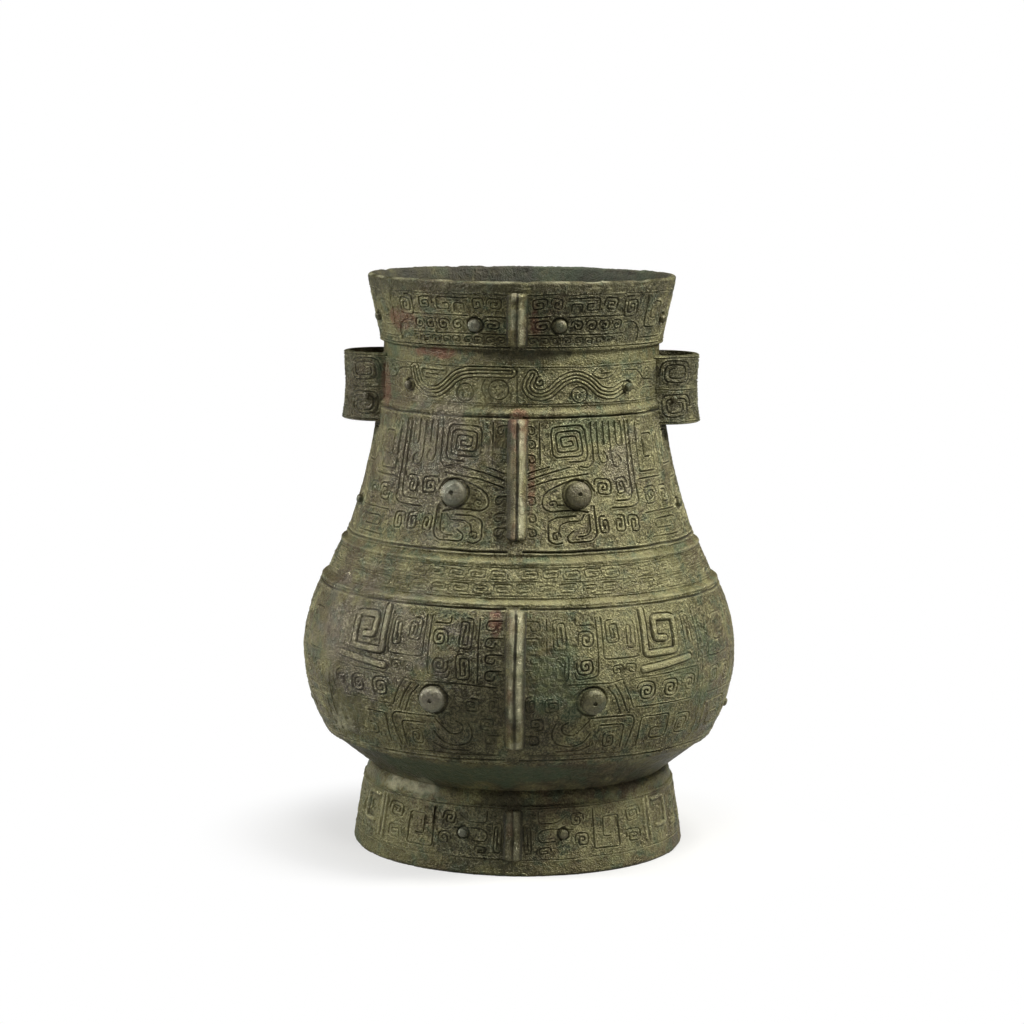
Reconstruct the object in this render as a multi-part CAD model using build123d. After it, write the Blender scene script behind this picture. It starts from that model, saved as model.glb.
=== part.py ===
from build123d import *
import os
from math import acos, asin, cos, sin, sqrt

# Bronze hu: an oval wine vessel on a flared foot, with tubular lugs, vertical flanges and eye bosses.
# Millimetres. +Z is up, the foot rests on Z = 0 and the vessel's axis is the Z axis. The broad faces look
# along -Y (front) and +Y (back), and the lugs stand out along -X (left) and +X (right).

# Heights of the tiers, from the foot up
FOOT_EDGE = 8.0
FOOT_BAND = 30.0
FOOT_COLLAR = 7.5
UNDERSIDE = 20.0
BELLY = 86.0
BELLY_LEDGE = 4.0
SHOULDER = 16.0
SHOULDER_LEDGE = 5.5
NECK = 72.0
NECK_LEDGE = 5.0
DRAGON_BAND = 21.5
PLAIN_BAND = 8.0
MOUTH = 30.5
LIP = 6.0

# Half-widths across the lugs, at the tiers' edges
FOOT_BASE_HALF = 93.2
FOOT_TOP_HALF = 87.2
COLLAR_HALF = 86.2
SEAT_HALF = 82.8
UNDERSIDE_TOP_HALF = 107.2
BELLY_LOW_HALF = 108.4
BELLY_MAX_HALF = 120.6
BELLY_TOP_HALF = 110.4
SHOULDER_LOW_HALF = 106.9
SHOULDER_TOP_HALF = 99.6
NECK_LOW_HALF = 96.4
NECK_MID_HALF = 85.2
NECK_TOP_HALF = 79.0
DRAGON_LOW_HALF = 77.3
DRAGON_TOP_HALF = 77.0
PLAIN_HALF = 75.9
MOUTH_LOW_HALF = 77.8
LIP_HALF = 84.5

# Level of the widest belly and of the neck's middle, above their tiers' lower edges
BELLY_MAX_UP = 41.0
NECK_MID_UP = 37.0

# Depth over width of every level outline, and how steeply the foot's collar runs in at its top
OVAL = 0.80
COLLAR_CURL = 0.27

# Castings
WALL = 3.8
FLOOR = 4.2
FLOOR_SAG = 9.0
LIP_WALL = 4.6
LIP_ROUND = 1.6
FOOT_WALL = 4.6
FOOT_ROUND = 1.2

# Tubular lugs
LUG_BELOW_BAND = 14.5
LUG_HEIGHT = 37.5
LUG_REACH = 97.3
LUG_CENTRE = 76.0
LUG_HALF_DEPTH = 17.5
LUG_FLARE_LOW = 2.0
LUG_FLARE_HIGH = 0.8
LUG_WALL = 3.6

# Flanges: how far each stands out of its tier, their common section, and where they end
MOUTH_FLANGE = 2.6
NECK_FLANGE = 4.6
BELLY_FLANGE = 4.0
FOOT_FLANGE = 2.2
FLANGE_WIDTH = 8.0
FLANGE_BEVEL = 1.6
FLANGE_GROOVE = 1.0
FLANGE_GROOVE_DEPTH = 0.7
FLANGE_END_GAP = 1.5
NECK_FLANGE_UP = 7.5
BELLY_FLANGE_UP = 10.0

# Eye bosses: diameter, height and diameter of the pupil's pit
LARGE_EYE = (14.0, 4.8, 2.8)
MOUTH_EYE = (6.8, 3.2, 0.0)
SMALL_EYE = (4.8, 2.4, 0.0)
LUG_STUD = (3.8, 2.0, 0.0)
PUPIL_DEPTH = 1.2
EYE_EDGE = 0.8
EYE_SINK = 3.0

# Places of the bosses: height above the tier's lower edge, and distance to the side or to the front
MOUTH_EYE_UP = 13.0
MOUTH_EYE_ASIDE = 22.5
MOUTH_SIDE_UP = 14.0
MOUTH_SIDE_FORWARD = 19.0
DRAGON_EYE_UP = 8.5
DRAGON_EYE_ASIDE = 58.5
NECK_EYE_UP = 30.5
NECK_EYE_ASIDE = 32.7
NECK_SIDE_UP = 19.5
NECK_SIDE_FORWARD = 18.0
BELLY_EYE_UP = 36.5
BELLY_EYE_ASIDE = 42.2
BELLY_SIDE_UP = 15.0
FOOT_EYE_UP = 14.5
FOOT_EYE_ASIDE = 27.2
LUG_STUD_UP = 14.0
LUG_STUD_OUT = 8.0

# Hairline left where the wall is divided level, and under the flanges and bosses
SEAM = 0.1

# Levels at which the inside is taken from the outside
INNER_STEPS = 30

# How far cutting tools run past the faces that they open
OVERRUN = 5.0

# Levels of the tiers' lower edges
Z_COLLAR = FOOT_EDGE + FOOT_BAND
Z_SEAT = Z_COLLAR + FOOT_COLLAR
Z_BELLY = Z_SEAT + UNDERSIDE
Z_BELLY_TOP = Z_BELLY + BELLY
Z_SHOULDER = Z_BELLY_TOP + BELLY_LEDGE
Z_SHOULDER_TOP = Z_SHOULDER + SHOULDER
Z_NECK = Z_SHOULDER_TOP + SHOULDER_LEDGE
Z_NECK_TOP = Z_NECK + NECK
Z_DRAGON = Z_NECK_TOP + NECK_LEDGE
Z_DRAGON_TOP = Z_DRAGON + DRAGON_BAND
Z_MOUTH = Z_DRAGON_TOP + PLAIN_BAND
Z_LIP = Z_MOUTH + MOUTH
Z_TOP = Z_LIP + LIP
Z_LUG = Z_DRAGON - LUG_BELOW_BAND


def at(half_width, z):
    """A point of a profile, in the plane of the lugs."""
    return (half_width, 0, z)


def body_profile():
    """Outer profile of the vessel, from the middle of its floor to the lip, stepped at every tier."""
    rise = (UNDERSIDE_TOP_HALF - SEAT_HALF, 0, UNDERSIDE)
    floor = Spline(at(0, Z_SEAT - FLOOR_SAG), at(SEAT_HALF, Z_SEAT), tangents=[(1, 0, 0), rise])
    underside = Line(floor @ 1, at(UNDERSIDE_TOP_HALF, Z_BELLY))
    belly_step = Line(underside @ 1, at(BELLY_LOW_HALF, Z_BELLY))
    belly_widest = at(BELLY_MAX_HALF, Z_BELLY + BELLY_MAX_UP)
    belly = Spline(belly_step @ 1, belly_widest, at(BELLY_TOP_HALF, Z_BELLY_TOP))
    belly_ledge = Line(belly @ 1, at(SHOULDER_LOW_HALF, Z_SHOULDER))
    shoulder = Line(belly_ledge @ 1, at(SHOULDER_TOP_HALF, Z_SHOULDER_TOP))
    shoulder_ledge = Line(shoulder @ 1, at(NECK_LOW_HALF, Z_NECK))
    neck_middle = at(NECK_MID_HALF, Z_NECK + NECK_MID_UP)
    neck = Spline(shoulder_ledge @ 1, neck_middle, at(NECK_TOP_HALF, Z_NECK_TOP))
    neck_ledge = Line(neck @ 1, at(DRAGON_LOW_HALF, Z_DRAGON))
    dragon_band = Line(neck_ledge @ 1, at(DRAGON_TOP_HALF, Z_DRAGON_TOP))
    plain_step = Line(dragon_band @ 1, at(PLAIN_HALF, Z_DRAGON_TOP))
    plain_band = Line(plain_step @ 1, at(PLAIN_HALF, Z_MOUTH))
    mouth_step = Line(plain_band @ 1, at(MOUTH_LOW_HALF, Z_MOUTH))
    mouth_lean = (LIP_HALF - MOUTH_LOW_HALF, 0, Z_TOP - Z_MOUTH)
    mouth = Spline(mouth_step @ 1, at(LIP_HALF, Z_TOP - LIP_ROUND), tangents=[(0.1, 0, 1), mouth_lean])
    lip = Line(mouth @ 1, at(LIP_HALF - LIP_ROUND, Z_TOP))
    return {
        "floor": floor,
        "underside": underside,
        "belly step": belly_step,
        "belly": belly,
        "belly ledge": belly_ledge,
        "shoulder": shoulder,
        "shoulder ledge": shoulder_ledge,
        "neck": neck,
        "neck ledge": neck_ledge,
        "dragon band": dragon_band,
        "plain step": plain_step,
        "plain band": plain_band,
        "mouth step": mouth_step,
        "mouth": mouth,
        "lip": lip,
    }


def foot_profile():
    """Outer profile of the foot ring, from below its resting face to the seat under the vessel."""
    below = Line(at(FOOT_BASE_HALF - FOOT_ROUND, -OVERRUN), at(FOOT_BASE_HALF - FOOT_ROUND, 0))
    edge = Line(below @ 1, at(FOOT_BASE_HALF, FOOT_ROUND))
    band = Line(edge @ 1, at(FOOT_TOP_HALF, Z_COLLAR))
    step = Line(band @ 1, at(COLLAR_HALF, Z_COLLAR))
    curl = (SEAT_HALF - COLLAR_HALF, 0, FOOT_COLLAR * COLLAR_CURL)
    collar = Spline(step @ 1, at(SEAT_HALF, Z_SEAT), tangents=[(0, 0, 1), curl])
    return {"below": below, "edge": edge, "band": band, "step": step, "collar": collar}


def climb(edge, z):
    """Where along a rising edge it passes the height z, found by halving."""
    low, high = 0.0, 1.0
    for _ in range(40):
        middle = (low + high) / 2
        if (edge @ middle).Z < z:
            low = middle
        else:
            high = middle
    return low


def fall(edge, z):
    """Where along a falling edge it passes the height z, found by halving."""
    low, high = 0.0, 1.0
    for _ in range(40):
        middle = (low + high) / 2
        if (edge @ middle).Z > z:
            low = middle
        else:
            high = middle
    return low


def half_width(tier, z):
    """Half-width at height z of a tier's rising edge."""
    return (tier @ climb(tier, z)).X


def inner_half(outer, z):
    """Half-width of the inside at height z, one wall in from the narrowest outer level near it."""
    reach = WALL / 2
    near = []
    for edge in outer.values():
        low, high = (edge @ 0).Z, (edge @ 1).Z
        near += [half_width(edge, level) for level in (z - reach, z, z + reach) if low < level < high]
    return min(near) - WALL


def cavity_profile():
    """Inner profile of the vessel, smooth past the ledges, from the lip down to the floor."""
    outer = body_profile()
    rise = (Vector(at(UNDERSIDE_TOP_HALF, Z_BELLY)) - Vector(at(SEAT_HALF, Z_SEAT))).normalized()
    inward = Vector(-rise.Z, 0, rise.X) * WALL
    bowl_top = Vector(at(UNDERSIDE_TOP_HALF, Z_BELLY)) + inward
    bowl_low = Vector(at(SEAT_HALF, Z_SEAT)) + inward
    top = Z_MOUTH + MOUTH / 2
    levels = [top + (Z_BELLY + WALL - top) * k / INNER_STEPS for k in range(INNER_STEPS)]
    sides = [at(inner_half(outer, z), z) for z in levels]
    wall = Spline(at(LIP_HALF - LIP_WALL, Z_TOP), *sides, bowl_top)
    bowl = Line(bowl_top, bowl_low)
    floor = Spline(bowl_low, at(0, Z_SEAT - FLOOR_SAG + FLOOR), tangents=[rise * -1, (-1, 0, 0)])
    return [wall, bowl, floor]


def slab(low, high):
    """Block wider than the vessel, between two levels."""
    width = 2 * (BELLY_MAX_HALF + OVERRUN)
    return Pos(0, 0, (low + high) / 2) * Box(width, width, high - low)


def oval_turn(edges):
    """Solid that a closed profile makes when turned about the axis and flattened to an oval."""
    return scale(revolve(Face(Wire(edges)), Axis.Z, 360), by=(1, OVAL, 1))


def oval_solid(profile):
    """Solid between the axis and a profile, from the level of its start to that of its end."""
    start, end = profile[0] @ 0, profile[-1] @ 1
    closing = [Line(end, at(0, end.Z)), Line(at(0, end.Z), at(0, start.Z)), Line(at(0, start.Z), start)]
    return oval_turn(profile + closing)


def inner_stretch(low, high):
    """Stretch of the inner profile between two levels, from the top down."""
    stretch = []
    for edge in cavity_profile():
        top, bottom = (edge @ 0).Z, (edge @ 1).Z
        if bottom < high and low < top:
            start = fall(edge, high) if top > high else 0
            end = fall(edge, low) if bottom < low else 1
            stretch.append(edge.trim(start, end))
    return stretch


def lowered(edge):
    """A rising edge that stops a hairline below its upper end."""
    return edge.trim(0, climb(edge, (edge @ 1).Z - SEAM))


def raised(edge):
    """A rising edge that starts a hairline above its lower end."""
    return edge.trim(climb(edge, (edge @ 0).Z + SEAM), 1)


def bowl_floor(outer):
    """Dished floor of the vessel, out to where the foot ring meets it, level round its edge."""
    inner = inner_stretch(0, (outer @ 1).Z)
    edge = Line(outer @ 1, inner[0] @ 0)
    middle = Line(inner[-1] @ 1, outer @ 0)
    return oval_turn([outer, edge] + inner + [middle])


def ring_wall(outer):
    """Ring of wall along a stretch of the outer profile, level at both ends."""
    low, high = outer[0] @ 0, outer[-1] @ 1
    inner = inner_stretch(low.Z, high.Z)
    top = Line(high, inner[0] @ 0)
    bottom = Line(inner[-1] @ 1, low)
    return oval_turn(outer + [top] + inner + [bottom])


def vessel_walls(wall):
    """The vessel's wall, divided level where its main tiers meet."""
    collar = [raised(wall["neck ledge"]), wall["dragon band"], wall["plain step"], lowered(wall["plain band"])]
    return {
        "bowl_floor": bowl_floor(wall["floor"]),
        "underside_wall": ring_wall([raised(lowered(wall["underside"]))]),
        "belly_wall": ring_wall([wall["belly"]]),
        "shoulder_wall": ring_wall([raised(wall["belly ledge"]), lowered(wall["shoulder"])]),
        "neck_wall": ring_wall([wall["shoulder ledge"], wall["neck"]]),
        "collar_wall": ring_wall(collar),
        "mouth_wall": ring_wall([wall["mouth"], wall["lip"]]),
    }


def foot_ring(foot, wall):
    """Flared ring, hollow below, cut flat to rest and seated on the underside of the bowl."""
    outer = list(foot.values())
    base = at(FOOT_BASE_HALF - FOOT_WALL, -OVERRUN)
    waist = at(min(FOOT_TOP_HALF, COLLAR_HALF) - FOOT_WALL, Z_COLLAR)
    top = at(SEAT_HALF - FOOT_WALL, Z_SEAT)
    inner = [Line(top, waist), Line(waist, base)]
    ring = oval_turn(outer + [Line(outer[-1] @ 1, top)] + inner + [Line(base, outer[0] @ 0)])
    axis = Line(at(0, Z_SEAT), wall["floor"] @ 0)
    level = Line(wall["floor"] @ 1, at(0, Z_SEAT))
    bowl = oval_turn([axis, wall["floor"], level])
    return ring - bowl - slab(-2 * OVERRUN, 0)


def lug_tube(inset, overrun):
    """Waisted oval tube at the right of the neck, drawn in by inset and run past both ends."""
    sections = []
    for up, flare in ((-overrun, LUG_FLARE_LOW), (LUG_HEIGHT / 2, 0), (LUG_HEIGHT + overrun, LUG_FLARE_HIGH)):
        half_x = LUG_REACH - LUG_CENTRE + flare - inset
        half_y = LUG_HALF_DEPTH + flare - inset
        sections.append(Pos(LUG_CENTRE, 0, Z_LUG + up) * Ellipse(half_x, half_y))
    return loft(sections)


def lug(tube, neck_form):
    """Right lug: the tube with its bore, closed on the inner side by the neck."""
    return tube - lug_tube(LUG_WALL, OVERRUN) - neck_form


def seat(tier):
    """Form of a tier, a hairline proud of its wall, that the pieces standing on it are cut to."""
    return oval_solid([Pos(SEAM, 0, 0) * tier])


def rib(tier, low, high, height, width):
    """Upright slab on the front, from the axis to a crest that follows the wall at the given height."""
    count = 6
    levels = [low + (high - low) * k / (count - 1) for k in range(count)]
    crest = Spline(*[(0, -OVAL * half_width(tier, z) - height, z) for z in levels])
    ends = [Line(crest @ 1, (0, 0, high)), Line((0, 0, high), (0, 0, low)), Line((0, 0, low), crest @ 0)]
    return Pos(-width / 2, 0, 0) * extrude(Face(Wire([crest] + ends)), width, dir=(1, 0, 0))


def flange(tier, low, high, height):
    """Front flange of one tier: bevelled, grooved along its crest, rooted on the wall."""
    slab = rib(tier, low, high, height, FLANGE_WIDTH)
    crest = slab.faces().sort_by(Axis.Y)[0]
    slab = chamfer(crest.edges(), FLANGE_BEVEL)
    groove = rib(tier, low, high, height + OVERRUN, FLANGE_GROOVE)
    groove -= rib(tier, low, high, height - FLANGE_GROOVE_DEPTH, FLANGE_GROOVE)
    return slab - groove - seat(tier)


def eye(size):
    """Domed boss on its own axis, with a pupil's pit where it has one and a root below its seat."""
    diameter, height, pupil = size
    radius = diameter / 2
    side = Line((radius, 0, -EYE_SINK), (radius, 0, EYE_EDGE))
    dome = Spline(side @ 1, (0, 0, height), tangents=[(0, 0, 1), (-1, 0, 0)])
    base = [Line((0, 0, height), (0, 0, -EYE_SINK)), Line((0, 0, -EYE_SINK), side @ 0)]
    boss = revolve(Face(Wire([side, dome] + base)), Axis.Z, 360)
    if pupil > 0:
        boss -= Pos(0, 0, height - PUPIL_DEPTH / 2) * Cone(pupil / 4, pupil / 2, PUPIL_DEPTH)
    return boss


def wall_eye(size, tier, z, turn):
    """Boss on a tier's wall at height z, a turn away from the front, facing straight out."""
    half = half_width(tier, z)
    lean = half_width(tier, z + 1) - half_width(tier, z - 1)
    point = (half * sin(turn), -OVAL * half * cos(turn), z)
    place = Plane(origin=point, z_dir=(sin(turn), -cos(turn) / OVAL, -lean / 2))
    return place * eye(size) - seat(tier)


def eye_aside(size, tier, z, distance):
    """Boss that lies a distance to the right of the front's middle."""
    return wall_eye(size, tier, z, asin(distance / half_width(tier, z)))


def eye_forward(size, tier, z, distance):
    """Boss that lies a distance in front of the lugs' plane, on the right."""
    return wall_eye(size, tier, z, acos(distance / (OVAL * half_width(tier, z))))


def lug_place():
    """Place of the stud on the right lug's front face."""
    half_x = LUG_REACH - LUG_CENTRE
    depth = LUG_HALF_DEPTH * sqrt(1 - (LUG_STUD_OUT / half_x) ** 2)
    point = (LUG_CENTRE + LUG_STUD_OUT, -depth, Z_LUG + LUG_STUD_UP)
    return Plane(origin=point, z_dir=(LUG_STUD_OUT / half_x**2, -depth / LUG_HALF_DEPTH**2, 0))


def right_and_left(name, piece):
    """A right-hand piece and its mirror image."""
    return {name + "_right": piece, name + "_left": mirror(piece, Plane.YZ)}


def front_and_back(name, piece):
    """A front piece and its mirror image."""
    return {name + "_front": piece, name + "_back": mirror(piece, Plane.XZ)}


def four_round(name, piece):
    """A piece of the front right quarter and its images in the other three."""
    pieces = {}
    for end, copy in front_and_back(name, piece).items():
        pieces.update(right_and_left(end, copy))
    return pieces


def flanges(wall, foot):
    """The four tiers' flanges, at front and back."""
    gap = FLANGE_END_GAP
    mouth = flange(wall["mouth"], Z_MOUTH + gap, Z_LIP, MOUTH_FLANGE)
    neck = flange(wall["neck"], Z_NECK + NECK_FLANGE_UP, Z_NECK_TOP - gap, NECK_FLANGE)
    belly = flange(wall["belly"], Z_BELLY + BELLY_FLANGE_UP, Z_BELLY_TOP - gap, BELLY_FLANGE)
    foot_rib = flange(foot["band"], FOOT_EDGE, Z_COLLAR - gap, FOOT_FLANGE)
    pieces = front_and_back("mouth_flange", mouth)
    pieces.update(front_and_back("neck_flange", neck))
    pieces.update(front_and_back("belly_flange", belly))
    pieces.update(front_and_back("foot_flange", foot_rib))
    return pieces


def eyes(wall, foot):
    """The bosses on the wall and the foot, made in the front right quarter and then set round."""
    mouth = eye_aside(MOUTH_EYE, wall["mouth"], Z_MOUTH + MOUTH_EYE_UP, MOUTH_EYE_ASIDE)
    mouth_side = eye_forward(SMALL_EYE, wall["mouth"], Z_MOUTH + MOUTH_SIDE_UP, MOUTH_SIDE_FORWARD)
    dragon = eye_aside(SMALL_EYE, wall["dragon band"], Z_DRAGON + DRAGON_EYE_UP, DRAGON_EYE_ASIDE)
    neck = eye_aside(LARGE_EYE, wall["neck"], Z_NECK + NECK_EYE_UP, NECK_EYE_ASIDE)
    neck_side = eye_forward(SMALL_EYE, wall["neck"], Z_NECK + NECK_SIDE_UP, NECK_SIDE_FORWARD)
    belly = eye_aside(LARGE_EYE, wall["belly"], Z_BELLY + BELLY_EYE_UP, BELLY_EYE_ASIDE)
    belly_side = eye_forward(SMALL_EYE, wall["belly"], Z_BELLY + BELLY_SIDE_UP, 0)
    foot_eye = eye_aside(SMALL_EYE, foot["band"], FOOT_EDGE + FOOT_EYE_UP, FOOT_EYE_ASIDE)
    pieces = four_round("mouth_eye", mouth)
    pieces.update(four_round("mouth_side_boss", mouth_side))
    pieces.update(four_round("dragon_eye", dragon))
    pieces.update(four_round("neck_eye", neck))
    pieces.update(four_round("neck_side_boss", neck_side))
    pieces.update(four_round("belly_eye", belly))
    pieces.update(right_and_left("belly_side_boss", belly_side))
    pieces.update(four_round("foot_eye", foot_eye))
    return pieces


def build():
    """Every piece by name."""
    wall, foot = body_profile(), foot_profile()
    beside_lugs = ["neck", "neck ledge", "dragon band", "plain step", "plain band", "mouth step", "mouth"]
    neck_form = oval_solid([wall[name] for name in beside_lugs])
    tube = lug_tube(0, 0)
    pieces = vessel_walls(wall)
    pieces["foot_ring"] = foot_ring(foot, wall)
    pieces.update(right_and_left("lug", lug(tube, neck_form)))
    pieces.update(four_round("lug_stud", lug_place() * eye(LUG_STUD) - lug_tube(-SEAM, 0)))
    pieces.update(flanges(wall, foot))
    pieces.update(eyes(wall, foot))
    return pieces


if __name__ == "__main__":
    os.makedirs("parts", exist_ok=True)
    for name, piece in build().items():
        export_step(piece, "parts/" + name + ".step")
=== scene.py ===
import math

import bpy
import numpy as np
from bpy.props import FloatProperty, FloatVectorProperty, PointerProperty
from mathutils import Matrix, Vector
from mathutils.bvhtree import BVHTree


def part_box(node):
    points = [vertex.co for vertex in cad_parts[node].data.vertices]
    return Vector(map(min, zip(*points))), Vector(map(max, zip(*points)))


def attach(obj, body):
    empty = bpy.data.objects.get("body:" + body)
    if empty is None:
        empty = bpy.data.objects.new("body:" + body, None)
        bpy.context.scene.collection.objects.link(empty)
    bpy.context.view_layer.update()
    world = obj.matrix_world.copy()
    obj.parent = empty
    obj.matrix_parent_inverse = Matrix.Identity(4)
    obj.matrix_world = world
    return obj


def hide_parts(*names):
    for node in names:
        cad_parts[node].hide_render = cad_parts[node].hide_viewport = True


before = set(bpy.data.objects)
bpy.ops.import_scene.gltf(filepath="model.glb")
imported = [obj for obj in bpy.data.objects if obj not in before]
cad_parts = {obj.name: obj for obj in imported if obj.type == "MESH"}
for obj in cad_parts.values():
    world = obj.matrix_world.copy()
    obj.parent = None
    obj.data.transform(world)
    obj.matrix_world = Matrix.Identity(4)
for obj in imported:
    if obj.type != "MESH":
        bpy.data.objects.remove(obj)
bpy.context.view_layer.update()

bl_info = {
    "name": "Bronze hu vessel",
    "version": (1, 0, 0),
    "blender": (4, 5, 0),
    "location": "View3D > Sidebar > Hu vessel",
    "description": "Dresses an oval bronze hu with cast ornament, patina and a studio stage",
    "category": "Object",
}

MM = 0.001
# Distance between the points of the finest walls, in millimetres
SPACING = 0.41
# Columns of a felt profile that hold the outer and the inner half-width
OUTER, INNER = 1, 2
# Mark that tells the flanges' surface from the bosses'
RIB_MARK = 0.6


def smooth(low, high, x):
    """Soft step from 0 at low to 1 at high."""
    t = np.clip((x - low) / (high - low), 0, 1)
    return t * t * (3 - 2 * t)


# Random values on a cube of points, which the noise runs between
LATTICE_SIDE = 64
LATTICE = (np.random.default_rng(7).random(LATTICE_SIDE**3) * 2 - 1).astype(np.float32)
# Step that keeps the noises of different seeds apart
SEED_STEP = np.array([17.3, 5.1, 29.7], np.float32)


class Seed:
    """Seeds of the noises, one for each kind of unevenness."""

    stains, decay, wear = 20, 30, 40
    sway_across, sway_up = 50, 51
    dents, swell, corrosion = 60, 61, 62
    pits, pitted_places = 63, 64
    grit, gritty_places = 65, 66
    inside, chips, nicks, lip = 67, 68, 69, 75
    lug_across, lug_up, lug_wear, lug_dents = 70, 71, 72, 73
    rib_dents, rib_swell, rib_bend, rib_edge, rib_pale, rib_rust = 80, 81, 82, 83, 84, 85


def noise(points, size, seed):
    """Smooth noise from -1 to 1 at points, in millimetres, with lumps of the given size."""
    p = np.asarray(points, np.float32) / size + SEED_STEP * (seed % 16 + 1)
    p = p.reshape(-1, 3)
    cell = np.floor(p).astype(np.int32)
    f = p - cell
    f = f * f * (3 - 2 * f)
    i, j = cell & (LATTICE_SIDE - 1), (cell + 1) & (LATTICE_SIDE - 1)
    total = np.zeros(len(p), np.float32)
    for x, u in ((i[:, 0], 1 - f[:, 0]), (j[:, 0], f[:, 0])):
        for y, v in ((i[:, 1], 1 - f[:, 1]), (j[:, 1], f[:, 1])):
            row = (x * LATTICE_SIDE + y) * LATTICE_SIDE
            total += u * v * (LATTICE[row + i[:, 2]] * (1 - f[:, 2]) + LATTICE[row + j[:, 2]] * f[:, 2])
    return total.reshape(np.shape(points)[:-1])


def layered(points, size, seed, layers=3):
    """Noise with finer noise upon it."""
    return sum(noise(points, size / 2**n, seed + n) / 2**n for n in range(layers))


def rounded(points, radius=1.6):
    """A path with its corners rounded."""
    path = [np.asarray(p, float) for p in points]
    made = [path[0]]
    for before, corner, after in zip(path[:-2], path[1:-1], path[2:]):
        near, far = before - corner, after - corner
        reach = min(radius, 0.48 * np.hypot(*near), 0.48 * np.hypot(*far))
        start, end = corner + near / np.hypot(*near) * reach, corner + far / np.hypot(*far) * reach
        made += [start, (start + 2 * corner + end) / 4, end]
    return np.array(made + [path[-1]])


def stepped(across, up):
    """A path of square turns, which takes the places across and up by turns.

    It starts upright, or level where there are more places across than up.
    """
    level = len(across) > len(up)
    count = len(across) + len(up) - 1
    return [(across[(n + level) // 2], up[(n + 1 - level) // 2]) for n in range(count)]


def scroll(x, y, half_x, half_y, turns, start=0, way=1, pitch=2.4, corner=5):
    """A squared spiral, from its outer end at the angle start, in degrees, to its middle."""
    angle = math.radians(start) + way * np.linspace(0, 2 * math.pi * turns, max(int(26 * turns), 8))
    inward = pitch * np.abs(angle - angle[0]) / (2 * math.pi)
    square = (np.abs(np.cos(angle)) ** corner + np.abs(np.sin(angle)) ** corner) ** (-1 / corner)
    across = np.maximum(half_x - inward, 0.15) * square * np.cos(angle)
    up = np.maximum(half_y - inward, 0.15) * square * np.sin(angle)
    return np.stack([x + across, y + up], 1)


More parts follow.
